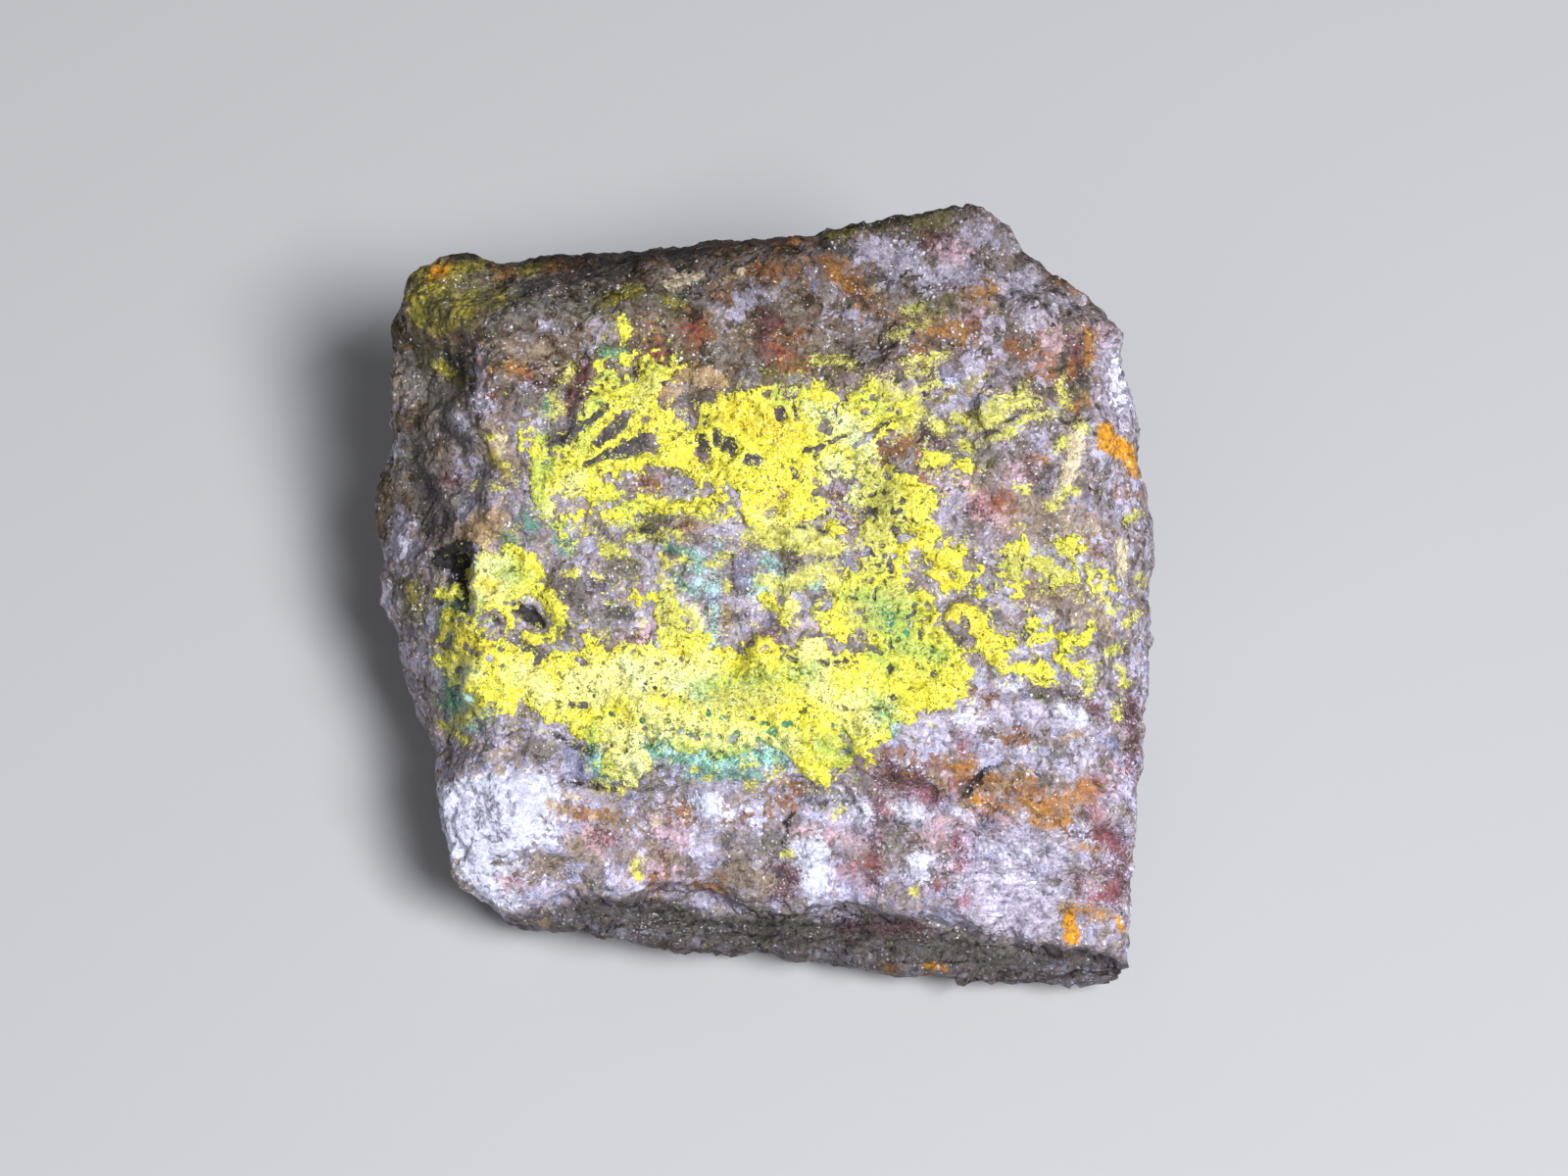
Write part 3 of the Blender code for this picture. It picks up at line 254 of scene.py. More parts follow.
# Stains of the rock: strokes as above, for each mineral or colour of the settings. Black in holes and clefts
# is painted shade, and so are a few dark strokes under and between the crusts
STAINS = {
    "smoke": [
        [(-35.4, 23.4, 1.8), (-33.2, 20.6, 1.8)], [(-33.6, 12.6, 1.2), (-31.6, 10.4, 1.2)],
        [(-24.6, -14.0, 0.8), (-22.0, -15.0, 1.0)],
        [(-10.4, -17.6, 0.7), (-10.6, -19.0, 1.6), (-8.4, -19.4, 1.0)],
        [(4.0, -19.0, 0.7), (6.6, -19.6, 0.8), (8.4, -20.4, 0.5)], [(-3.0, -24.4, 0.9), (1.0, -24.8, 1.0)],
        [(-14.4, 11.8, 0.7), (-14.2, 10.2, 0.6), (-11.2, 10.4, 0.5)], [(-18.4, 1.4, 0.8), (-19.0, -0.2, 0.9)],
        [(-16.2, -1.8, 1.3), (-14.2, -1.6, 1.2)], [(-25.0, 20.4, 0.8), (-22.8, 20.4, 0.8)],
        [(7.2, -4.8, 0.4), (10.4, -4.7, 0.5)], [(13.2, -23.8, 1.0), (14.0, -25.0, 0.8)],
        [(29.4, -15.4, 0.6), (31.0, -15.4, 0.6)], [(17.8, -25.8, 0.5), (17.8, -28.0, 0.4)],
        [(20.0, 15.6, 0.8), (24.0, 14.6, 1.2), (27.0, 12.6, 0.8)], [(17.6, 17.6, 0.9), (18.8, 16.0, 0.7)],
        [(-20.8, -3.0, 0.6), (-19.4, -3.8, 0.9)],
        [(-27.0, 28.6, 1.0), (-20.0, 30.4, 1.2), (-12.0, 30.2, 1.0), (-4.0, 32.0, 1.0)],
        [(-35.6, 16.0, 1.4), (-34.4, 8.6, 1.2)], [(-4.6, 25.4, 0.9), (-1.6, 24.4, 0.8), (6.0, 25.6, 0.8)],
        [(-18.0, -31.4, 1.0), (-8.0, -33.0, 1.4), (4.0, -34.0, 1.6), (16.0, -35.0, 1.4), (28.0, -36.8, 1.0)],
    ],
    "tan": [
        [(-28.0, 17.4, 1.4), (-26.2, 14.4, 1.4)],
        [(-25.4, 24.6, 1.4), (-22.4, 24.6, 1.4), (-20.8, 26.2, 1.0)], [(-18.0, 27.6, 0.8), (-8.4, 28.2, 1.0)],
        [(-3.0, 27.0, 1.0), (-4.6, 29.6, 1.0)],
        [(-14.0, -22.6, 0.8), (-19.6, -25.0, 0.8), (-9.6, -26.6, 1.0)],
        [(-2.8, -27.4, 1.2), (0.0, -28.8, 1.0)], [(-28.4, -16.6, 0.5), (-26.4, -15.8, 0.9)],
        [(-24.8, -27.6, 0.5), (-22.0, -26.6, 0.9), (-20.8, -27.8, 0.6)],
        [(20.6, 31.2, 0.8), (30.6, 26.8, 0.8)], [(-17.2, 9.6, 0.6), (-16.2, 8.8, 0.6)],
        [(-29.2, 33.6, 0.6), (-27.4, 33.4, 0.6)], [(22.6, 9.8, 1.8), (28.0, 8.6, 2.2), (33.0, 7.6, 1.8)],
        [(26.0, 0.4, 1.2), (31.0, 0.6, 1.6), (35.0, -2.6, 1.2)], [(9.4, -26.4, 1.0), (12.6, -27.6, 0.8)],
        [(24.0, 13.2, 0.6), (26.0, 13.4, 0.8)], [(-5.6, 7.8, 0.6), (-7.8, 7.2, 0.5)],
    ],
    "lavender": [
        [(8.2, -22.0, 1.2), (15.0, -22.2, 1.1)], [(21.6, -24.0, 1.6), (30.0, -25.2, 1.8)],
        [(17.6, -27.2, 1.6), (24.4, -30.0, 4.2), (28.0, -31.4, 3.4)],
        [(15.0, -13.4, 1.5), (21.0, -11.6, 1.6), (29.6, -11.8, 1.5), (33.8, -13.8, 1.0)],
        [(26.4, -15.6, 1.0), (28.4, -16.6, 1.0)], [(32.0, -15.6, 0.9), (33.2, -16.4, 0.8)],
        [(9.6, 35.4, 0.7), (12.2, 36.0, 1.2), (14.2, 34.4, 1.8), (13.0, 32.4, 1.2)],
        [(16.6, 32.6, 1.2), (20.4, 33.6, 1.6), (23.6, 31.4, 1.2), (27.0, 32.6, 1.2)],
        [(20.6, 37.4, 1.2), (22.8, 36.8, 1.2)], [(27.4, 28.6, 1.2), (30.0, 29.8, 1.2)],
        [(8.0, 29.2, 0.7), (9.4, 28.6, 0.6)], [(23.6, 25.4, 0.6), (24.8, 25.0, 0.5)],
        [(20.9, 24.6, 0.7), (21.6, 23.2, 0.6)], [(28.0, 22.8, 0.6), (28.0, 21.6, 0.6)],
        [(18.6, 19.5, 0.5), (19.8, 19.4, 0.5)], [(28.3, 16.8, 0.8), (29.5, 16.9, 0.8)],
        [(19.4, 10.4, 1.3), (18.4, 7.6, 1.0)], [(35.6, 12.6, 0.8), (36.6, 10.0, 0.8)],
        # The two lavender strokes on the left flank here are partly painted light: pale grey patches that
        # lighten the flank, which faces away from the lamps
        [(-36.4, 5.6, 0.8), (-36.2, 3.0, 0.8)], [(-34.6, -5.0, 0.7), (-33.8, -8.6, 0.8)],
        [(-34.4, 12.0, 0.6), (-33.0, 9.8, 0.5)],
        [(35.6, 26.4, 1.4), (35.8, 23.4, 1.8), (36.4, 20.8, 2.1), (37.0, 18.6, 1.6)],
        [(-27.4, -13.8, 0.8), (-26.6, -14.6, 0.7)], [(-22.0, -12.6, 1.2), (-19.8, -13.8, 0.9)],
        [(-29.2, 24.4, 0.5), (-28.8, 22.2, 0.6), (-28.2, 19.6, 0.7)],
        [(-15.4, 28.0, 0.6), (-16.6, 26.6, 0.8), (-17.6, 25.2, 0.5)],
        [(-23.4, 28.8, 0.5), (-21.2, 28.0, 0.6)], [(-4.0, 28.2, 0.5), (-2.4, 29.4, 0.6), (-0.6, 31.2, 0.5)],
        [(-1.8, -0.6, 0.9), (0.0, -1.6, 1.0)], [(-3.4, -3.0, 0.7), (-2.6, -3.4, 0.7)],
        [(2.8, -3.6, 0.6), (5.0, -2.4, 0.7)], [(-13.0, -2.8, 0.8), (-11.4, -1.6, 0.8)],
        [(-11.6, 3.6, 0.8), (-11.0, 2.6, 0.7)], [(-12.0, 5.8, 0.4), (-11.4, 5.5, 0.4)],
        [(-3.4, 7.6, 0.7), (-2.4, 6.6, 0.8)], [(-3.4, 11.4, 0.6), (-2.8, 9.8, 0.7)],
        [(-8.0, -0.6, 0.5), (-7.8, -1.4, 0.5)], [(3.6, 2.0, 0.6), (4.8, 1.8, 0.5)],
        [(-36.6, 8.8, 0.9), (-35.8, 7.6, 0.8)], [(-9.4, -23.4, 1.0), (-5.4, -26.0, 1.2)],
        [(11.2, -17.8, 0.8), (16.6, -14.2, 0.8)], [(22.6, 27.8, 0.7), (24.0, 28.6, 0.6)],
        [(8.0, -32.2, 0.8), (9.6, -32.4, 0.6)], [(-14.8, -32.0, 0.4), (-13.4, -32.4, 0.4)],
    ],
    "white": [
        [(-31.0, -21.0, 2.6), (-27.0, -20.6, 3.2), (-23.6, -20.2, 2.6)],
        [(-30.4, -24.4, 2.6), (-26.0, -24.0, 2.6), (-23.0, -23.4, 1.8)],
        [(-29.2, -27.0, 1.8), (-27.2, -29.4, 1.4), (-25.4, -31.4, 1.0)],
        [(5.4, -25.4, 1.5), (5.2, -28.6, 1.7)], [(-6.4, -20.6, 0.8), (-5.0, -21.0, 1.2), (-4.4, -22.2, 0.8)],
        [(-7.4, -24.4, 0.6), (-6.8, -24.8, 0.5)], [(9.8, -21.8, 0.7), (11.6, -22.0, 0.6)],
        [(13.4, -21.4, 0.5), (16.2, -21.6, 0.6)], [(15.8, -26.4, 0.8), (16.4, -27.6, 0.7)],
        [(23.8, -8.6, 0.5), (25.4, -8.8, 0.5)], [(20.6, -12.0, 0.7), (22.6, -12.2, 0.7)],
        [(30.8, -11.4, 0.7), (32.6, -12.0, 0.6)], [(23.0, -25.0, 0.6), (26.8, -25.8, 0.5)],
        [(24.0, -28.0, 0.3), (28.0, -29.2, 0.3)], [(26.3, -21.5, 0.2), (26.8, -21.9, 0.2)],
        [(21.2, -22.0, 0.3), (21.8, -22.5, 0.3)], [(32.0, -23.7, 0.3), (32.8, -24.2, 0.3)],
        [(35.9, 24.4, 0.5), (36.6, 20.4, 0.6)], [(0.4, 0.6, 0.3), (-1.0, 0.2, 0.4)],
        # Some small white strokes are painted glints: the one at (-24.0, 22.2), the two on the left edge and
        # the one at (19.4, 22.4)
        [(-7.2, 11.4, 0.4), (-7.0, 10.8, 0.4)], [(-24.1, 22.2, 0.3), (-23.8, 22.1, 0.3)],
        [(-9.0, 21.2, 0.4), (-8.1, 20.8, 0.3)], [(-5.8, 23.0, 0.25), (-5.4, 22.8, 0.2)],
        [(-37.4, 15.8, 0.3), (-37.2, 14.8, 0.3)], [(-37.0, 6.4, 0.4), (-36.6, 5.6, 0.4)],
        [(18.8, 22.6, 0.3), (20.0, 22.2, 0.3)],
    ],
    "pink": [
        [(8.6, -27.6, 0.9), (10.6, -28.8, 0.9)], [(4.0, -23.6, 0.5), (8.0, -24.2, 0.6), (10.4, -24.8, 0.6)],
        [(10.4, -17.0, 0.8), (12.4, -17.6, 0.8)], [(-12.8, -3.4, 0.5), (-11.2, -3.0, 0.5)],
        [(33.0, -29.6, 0.7), (35.0, -30.0, 0.6)], [(34.0, -20.8, 0.5), (34.0, -21.8, 0.4)],
        [(16.8, -24.4, 0.6), (18.6, -23.2, 0.6)], [(22.0, -22.2, 0.5), (25.0, -22.6, 0.5)],
        [(-26.0, -29.0, 0.5), (-24.8, -28.8, 0.5)], [(-17.6, -23.6, 0.8), (-14.6, -24.6, 1.0)],
        [(-10.8, -22.0, 0.6), (-8.6, -24.8, 0.8)], [(-12.6, -28.0, 0.8), (-8.6, -28.2, 0.8)],
        [(25.4, 12.6, 0.6), (26.2, 13.0, 0.5)], [(21.4, 29.4, 0.8), (22.8, 30.4, 0.6)],
        [(18.4, 35.4, 0.8), (20.4, 35.6, 0.8)], [(30.0, 27.2, 0.6), (29.0, 24.6, 0.6)],
        [(35.6, 27.8, 0.6), (34.8, 27.0, 0.5)], [(36.0, -16.8, 0.5), (36.2, -18.8, 0.6)],
        [(2.4, -2.4, 0.5), (4.4, -3.8, 0.5)], [(24.4, 7.6, 0.7), (20.4, 12.4, 0.5)],
    ],
    "slate": [
        [(-2.1, 3.9, 0.75), (-0.8, 4.0, 0.55)], [(-2.1, 2.4, 0.75), (-1.4, 1.2, 0.6)],
        [(8.4, 4.4, 0.6), (9.2, 3.4, 0.5)], [(-19.4, -16.0, 0.9), (-18.4, -17.8, 0.9)],
        [(12.8, -15.4, 0.7), (14.0, -14.6, 0.6)], [(31.4, -23.9, 0.4), (32.5, -23.9, 0.5)],
        [(35.2, -14.4, 0.5), (36.0, -14.9, 0.4)], [(-7.9, 11.6, 0.4), (-7.4, 12.2, 0.3)],
        [(21.4, 20.2, 0.5), (22.4, 20.4, 0.4)], [(18.4, 22.8, 0.6), (20.0, 22.6, 0.5)],
        [(-5.4, 0.8, 0.5), (-5.0, -0.4, 0.4)], [(4.8, 33.8, 0.3), (5.4, 32.0, 0.4)],
        [(2.6, -17.4, 0.4), (2.8, -18.2, 0.3)],
    ],
    "cream": [
        [(32.0, 16.9, 0.75), (31.9, 14.9, 0.85), (31.3, 13.0, 0.8), (30.5, 11.5, 0.6), (29.9, 10.4, 0.4)],
        [(-9.6, 32.0, 0.5), (-7.8, 32.8, 0.6), (-6.4, 33.0, 0.4)],
        [(-4.8, 32.0, 0.15), (-3.0, 32.9, 0.2), (-1.9, 33.6, 0.2)], [(36.6, 5.6, 0.7), (36.8, 3.0, 0.6)],
        [(-7.0, -1.0, 0.7), (-6.6, -2.4, 0.7)], [(-26.8, 16.4, 0.6), (-26.6, 14.8, 0.5)],
        [(-20.1, -20.1, 0.2), (-18.9, -20.2, 0.2)], [(-11.0, -22.8, 0.3), (-10.5, -22.4, 0.3)],
        [(22.4, 21.4, 0.4), (22.8, 21.2, 0.3)], [(-12.4, -26.2, 0.35), (-11.9, -26.6, 0.35)],
    ],
    "buff": [
        [(-31.2, 5.4, 0.6), (-30.0, 6.6, 1.2), (-28.4, 7.6, 1.5), (-27.0, 8.4, 1.2)],
        [(-28.0, 6.0, 0.8), (-26.8, 6.6, 0.8)], [(-8.6, 22.8, 0.9), (-6.0, 22.8, 1.1), (-4.6, 22.4, 0.8)],
        [(-9.8, 20.8, 0.7), (-8.0, 21.4, 0.8)],
        [(-21.8, -21.0, 0.4), (-19.0, -21.8, 0.6), (-16.4, -22.0, 0.5)],
        [(17.2, -17.8, 0.8), (18.4, -19.0, 0.7)],
        [(22.6, -18.8, 0.6), (24.6, -18.6, 0.9), (26.8, -18.2, 0.7)],
        [(30.8, -14.0, 0.4), (32.4, -13.8, 0.35)], [(-3.6, -1.0, 0.3), (-3.7, -3.0, 0.35)],
        [(27.8, -22.4, 0.4), (31.4, -22.2, 0.4)], [(30.6, -31.4, 0.4), (34.8, -32.0, 0.5)],
        [(-22.8, -32.8, 0.5), (-21.6, -33.4, 0.5)], [(13.8, 28.6, 0.6), (18.6, 28.8, 0.6)],
        [(11.2, 31.4, 0.4), (12.2, 30.9, 0.4)],
    ],
    "olive": [
        [(-35.6, 33.0, 1.6), (-33.4, 30.2, 3.4), (-29.6, 30.6, 2.6)],
        [(-34.6, 34.2, 0.6), (-28.8, 33.8, 0.9), (-22.6, 34.2, 0.7)],
        [(-32.4, 24.6, 1.4), (-31.2, 23.4, 1.3)], [(-15.6, 30.8, 0.9), (-12.6, 31.6, 0.9)],
        [(-28.0, 31.6, 0.8), (-25.4, 31.6, 0.8)], [(6.0, 37.6, 0.9), (12.0, 38.4, 0.9), (18.0, 39.0, 0.9)],
        [(-15.6, 3.2, 0.9), (-13.0, 3.0, 0.8)], [(9.4, 23.8, 0.7), (4.8, 24.4, 0.8), (1.6, 23.0, 1.0)],
        [(17.8, 17.8, 0.9), (20.6, 18.4, 0.9)], [(30.4, 21.8, 0.5), (31.8, 21.2, 0.5)],
        [(0.0, 6.2, 1.4), (4.0, 5.6, 1.6), (6.8, 5.4, 1.2)], [(-36.4, 3.0, 0.8), (-35.6, -1.0, 0.5)],
        [(-12.8, 7.0, 0.7), (-11.0, 6.4, 0.7)], [(-9.8, 30.4, 0.5), (-8.2, 30.0, 0.5)],
        [(17.0, 30.0, 0.8), (19.2, 30.4, 0.8)], [(19.0, 14.8, 0.6), (23.0, 13.6, 0.6)],
    ],
    "rust": [
        [(6.0, 34.6, 0.8), (7.4, 33.4, 1.0), (8.8, 31.8, 1.0), (10.0, 30.8, 0.8)],
        [(25.4, 25.6, 0.5), (26.6, 25.4, 0.4)], [(28.9, 23.6, 0.5), (30.0, 23.0, 0.6), (31.3, 23.4, 0.45)],
        [(27.8, 25.7, 0.35), (28.8, 25.4, 0.35)], [(12.6, 15.4, 1.0), (14.0, 15.2, 1.3), (15.4, 14.4, 0.8)],
        [(16.4, 12.6, 0.6), (17.4, 11.8, 0.5)], [(24.2, -14.2, 0.3), (26.0, -13.9, 0.3)],
        [(22.6, -10.2, 0.35), (23.1, -10.6, 0.3)], [(13.2, -16.2, 0.5), (14.6, -16.0, 0.5)],
        [(13.2, -17.8, 0.6), (15.0, -17.6, 0.5)], [(-18.0, -22.0, 0.2), (-15.8, -21.8, 0.3)],
        [(-8.8, -21.8, 0.35), (-7.8, -21.5, 0.35)], [(-3.0, -22.2, 0.35), (-1.8, -22.6, 0.35)],
        [(-11.4, -28.6, 0.3), (-10.6, -28.8, 0.45)], [(-6.4, -29.0, 0.5), (-5.4, -29.4, 0.4)],
        [(3.0, -19.2, 0.5), (3.4, -20.0, 0.5)], [(0.8, -20.8, 0.7), (2.6, -20.8, 0.7)],
        [(-25.8, 24.2, 0.5), (-24.4, 23.4, 0.5)], [(-28.2, 24.0, 0.3), (-27.4, 21.6, 0.3)],
        [(-19.6, 34.8, 0.5), (-18.2, 34.8, 0.4)],
        [(-11.9, 35.8, 0.5), (-4.4, 36.6, 0.7), (-2.0, 36.6, 0.7), (3.2, 37.1, 0.6)],
        [(-7.4, 27.8, 0.7), (-6.4, 27.6, 0.7), (-6.8, 26.8, 0.5)], [(-11.8, 28.4, 0.4), (-11.4, 27.0, 0.4)],
        [(-3.4, 31.4, 0.6), (-0.6, 33.4, 0.7), (3.0, 33.8, 0.7)], [(1.6, 25.4, 0.5), (4.2, 24.2, 0.4)],
        [(2.6, 27.4, 0.5), (3.8, 27.0, 0.5)], [(15.2, 25.6, 0.4), (16.2, 25.4, 0.45)],
        [(30.6, 34.0, 0.6), (32.0, 32.0, 0.5)], [(24.0, 9.4, 0.5), (25.4, 9.2, 0.5)],
        [(32.8, 4.8, 0.8), (34.0, 5.4, 0.8)], [(36.4, 11.6, 0.4), (37.6, 10.6, 0.3)],
        [(-11.8, 12.0, 0.5), (-10.8, 11.8, 0.4)], [(28.2, -21.9, 0.5), (30.8, -22.0, 0.5)],
        [(18.0, -16.6, 0.7), (20.6, -17.8, 0.8), (22.8, -19.6, 0.8)],
        [(25.0, -19.4, 0.5), (28.6, -19.2, 0.5)], [(21.4, 27.4, 0.5), (20.4, 28.2, 0.5)],
    ],
    "amber": [
        [(16.8, 27.6, 0.6), (19.4, 27.4, 0.7), (20.2, 26.6, 0.5)], [(21.2, 31.4, 0.6), (23.4, 31.6, 0.7)],
        [(33.2, 26.8, 0.85), (33.3, 25.2, 0.75), (33.1, 24.4, 0.5)], [(28.0, 14.5, 0.35), (28.8, 14.2, 0.4)],
        [(32.0, 19.5, 0.35), (33.0, 20.2, 0.35)], [(7.0, 34.2, 0.4), (8.8, 32.2, 0.4)],
        [(19.6, -17.2, 0.5), (21.4, -16.8, 0.6)],
        [(21.6, -20.2, 0.6), (23.0, -20.8, 0.9), (24.8, -21.2, 0.6)],
        [(25.6, -20.6, 0.6), (27.6, -21.0, 0.9), (29.6, -21.2, 0.8)],
        [(30.0, -20.4, 0.8), (31.8, -19.8, 1.0), (33.4, -19.4, 1.0)],
        [(27.8, -22.8, 0.3), (29.4, -23.0, 0.45), (31.0, -22.7, 0.3)],
        [(31.0, -31.6, 0.4), (33.0, -31.8, 0.4), (34.6, -32.3, 0.35)],
        [(-33.8, 33.3, 0.9), (-32.2, 33.7, 0.8)], [(-31.9, 34.1, 0.5), (-31.2, 34.0, 0.45)],
        [(-26.8, 33.5, 0.4), (-25.8, 33.8, 0.35)], [(-22.0, 34.2, 0.5), (-20.4, 34.2, 0.5)],
        [(1.8, 37.0, 0.4), (3.2, 37.1, 0.4)], [(-16.8, -22.0, 0.1), (-15.9, -21.9, 0.15)],
        [(-25.4, 23.9, 0.3), (-24.4, 23.3, 0.3)], [(-0.2, 10.6, 0.4), (1.8, 11.2, 0.4)],
        [(34.2, -25.4, 0.3), (31.8, -25.2, 0.25)], [(12.8, -37.6, 0.3), (14.2, -37.7, 0.3)],
    ],
    "ochre": [
        [(35.0, 17.2, 0.9), (35.4, 16.0, 1.15), (36.4, 15.5, 1.15), (37.2, 14.9, 0.9), (37.8, 13.4, 0.6),
         (38.1, 12.6, 0.35)],
        [(31.5, -32.2, 0.6), (31.3, -33.4, 0.7), (31.6, -34.4, 0.8)],
        [(36.3, -32.6, 0.4), (36.6, -33.4, 0.4)], [(-33.4, 33.4, 0.6), (-32.6, 33.6, 0.5)],
        [(16.8, -37.3, 0.3), (18.8, -37.5, 0.3)], [(21.6, -20.3, 0.25), (22.2, -20.6, 0.25)],
    ],
    "maroon": [
        [(12.8, -17.4, 1.0), (14.2, -19.0, 0.9)], [(15.8, -17.6, 0.7), (17.6, -20.4, 0.7)],
        [(34.2, -23.8, 0.8), (36.0, -24.6, 1.0), (36.4, -26.4, 0.9)],
        [(34.6, -27.6, 0.8), (36.6, -28.4, 1.0), (35.6, -30.6, 0.8)],
        [(31.6, 26.4, 0.6), (31.9, 25.2, 0.55), (32.2, 24.2, 0.4)], [(16.8, 37.0, 0.7), (18.2, 37.0, 0.7)],
        [(0.2, 29.0, 0.8), (1.4, 28.8, 0.9), (0.4, 27.4, 0.7)],
        [(1.6, -27.6, 0.8), (3.2, -28.4, 0.8), (2.0, -30.0, 0.8)],
        [(31.9, -9.9, 0.45), (33.2, -10.6, 0.5), (34.4, -11.4, 0.45)],
        [(36.4, -12.4, 0.5), (37.6, -10.4, 0.6), (37.8, -17.0, 0.6)],
        [(-17.2, -24.0, 0.6), (-15.8, -24.4, 0.5)],
        [(-18.1, 23.6, 0.6), (-19.0, 21.8, 0.85), (-20.1, 19.6, 0.6)],
        [(-23.6, 22.4, 0.5), (-22.6, 21.8, 0.4)], [(20.2, -25.6, 0.5), (20.3, -26.8, 0.4)],
        [(32.0, -28.4, 0.35), (32.2, -29.2, 0.4)], [(22.9, -22.0, 0.2), (23.1, -22.5, 0.2)],
        [(27.2, 14.2, 0.4), (27.4, 12.6, 0.4)], [(29.4, 20.0, 0.4), (29.8, 20.4, 0.4)],
        [(-13.6, -4.0, 0.3), (-11.6, -4.2, 0.3)], [(2.2, 4.6, 0.3), (2.7, 4.3, 0.3)],
        [(10.0, 4.0, 0.4), (10.8, 4.2, 0.3)], [(7.2, 11.0, 0.5), (8.0, 9.4, 0.6), (9.2, 7.6, 0.5)],
        [(-10.2, -26.0, 0.4), (-10.0, -26.4, 0.3)], [(16.4, 17.2, 0.6), (18.2, 16.0, 0.6)],
        [(23.0, 8.8, 0.4), (21.6, 9.6, 0.3)], [(-33.4, 12.0, 0.5), (-31.0, 12.6, 0.4)],
        [(11.8, -16.8, 0.3), (11.4, -29.0, 0.4)], [(7.6, -33.6, 0.5), (16.0, -33.4, 0.6)],
    ],
    "scarlet": [
        [(33.9, -18.5, 0.35), (34.0, -19.1, 0.35)], [(20.5, -14.2, 0.3), (20.5, -15.2, 0.35)],
        [(15.8, -19.6, 0.2), (16.8, -20.5, 0.25)], [(19.2, -18.9, 0.3), (19.4, -19.6, 0.3)],
        [(20.1, -24.2, 0.3), (19.2, -25.1, 0.4)], [(19.8, -27.0, 0.2), (19.0, -27.7, 0.2)],
        [(17.7, -28.4, 0.25), (18.0, -29.5, 0.3)], [(20.0, -30.9, 0.3), (20.8, -30.6, 0.4)],
        [(33.9, -21.4, 0.3), (34.1, -22.0, 0.25)], [(34.4, -23.6, 0.4), (36.0, -25.2, 0.4)],
        [(35.8, -29.8, 0.3), (34.0, -30.6, 0.3)], [(9.6, -27.2, 0.25), (11.2, -26.8, 0.3)],
        [(12.6, -22.0, 0.25), (12.4, -20.8, 0.25)], [(-11.7, 25.1, 0.45), (-10.9, 24.9, 0.45)],
        [(0.3, 25.6, 0.35), (2.0, 25.0, 0.4)], [(-13.2, 0.7, 0.25), (-12.6, 0.6, 0.25)],
        [(0.1, -3.3, 0.3), (0.7, -3.5, 0.25)], [(-7.7, 7.4, 0.2), (-7.5, 7.4, 0.2)],
        [(-7.2, 28.0, 0.3), (-6.8, 27.0, 0.3)], [(22.4, 9.8, 0.3), (24.8, 10.6, 0.3)],
    ],
    "dark": [
        [(-33.2, 7.2, 0.9), (-31.6, 8.4, 0.5)], [(-32.6, 17.6, 0.6), (-30.2, 16.2, 0.6)],
        [(-34.6, 13.0, 0.5), (-33.0, 10.6, 0.6)],
        # The dark strokes in the fan's gaps are dark rock, partly painted shade of the gaps
        [(-18.4, 13.6, 0.9), (-14.8, 14.9, 1.3), (-12.8, 16.2, 1.4)],
        [(-17.0, 15.4, 0.8), (-15.4, 17.0, 1.1), (-14.2, 18.2, 0.9)],
        [(-21.2, 16.3, 0.7), (-19.4, 16.8, 0.8), (-18.2, 18.2, 0.8)],
        [(-17.6, 18.2, 0.8), (-16.0, 19.6, 0.8)], [(-7.8, 20.4, 0.8), (-6.2, 20.6, 0.6)],
        [(-6.2, 16.4, 1.2), (-4.4, 16.2, 1.6), (-3.0, 15.4, 1.2)], [(-1.4, 14.2, 1.2), (-0.4, 14.3, 1.1)],
        [(2.8, 13.6, 0.9), (3.2, 12.4, 0.9)], [(1.0, 19.8, 0.9), (2.0, 18.8, 1.0), (3.2, 20.0, 0.9)],
        [(4.4, 15.3, 0.6), (8.4, 16.8, 0.7), (13.2, 18.3, 0.6)], [(-12.4, 7.4, 0.6), (-10.8, 7.0, 0.5)],
        [(-17.4, 1.6, 0.4), (-16.4, 1.2, 0.3)], [(-19.6, 0.4, 0.4), (-18.4, -0.6, 0.4)],
        [(-15.4, -1.2, 0.5), (-13.8, -1.6, 0.5)], [(-32.8, 24.8, 0.9), (-31.2, 23.6, 1.1)],
        [(-24.0, 32.0, 0.4), (-20.0, 33.0, 0.5), (-15.4, 33.2, 0.4)], [(5.6, 35.8, 0.5), (9.4, 35.8, 0.5)],
        [(8.8, 26.0, 0.3), (8.5, 25.0, 0.45)], [(14.2, 27.6, 0.2), (15.8, 28.6, 0.25)],
        [(4.0, -20.2, 0.2), (6.4, -20.7, 0.3), (8.6, -21.0, 0.2)], [(13.8, -18.0, 0.2), (15.4, -17.2, 0.2)],
        [(12.2, -22.4, 0.25), (15.0, -22.9, 0.2)], [(32.7, -21.7, 0.3), (33.0, -22.3, 0.3)],
        [(26.8, -9.6, 0.15), (28.6, -9.3, 0.2), (32.1, -9.8, 0.15)], [(13.6, -9.8, 0.2), (11.6, -10.2, 0.15)],
        [(15.6, 18.0, 0.6), (17.0, 17.0, 0.6)], [(-3.0, 1.0, 0.2), (-1.2, 0.8, 0.3)],
        [(29.4, 13.4, 0.35), (28.6, 10.6, 0.25)], [(1.4, -27.6, 0.3), (1.9, -28.0, 0.25)],
        [(14.4, -27.0, 0.15), (14.4, -29.0, 0.2)], [(-11.0, -15.0, 0.3), (-10.2, -15.6, 0.3)],
        [(-8.6, -16.2, 0.3), (-8.0, -16.8, 0.3)], [(-2.6, -15.2, 0.3), (-2.4, -16.4, 0.25)],
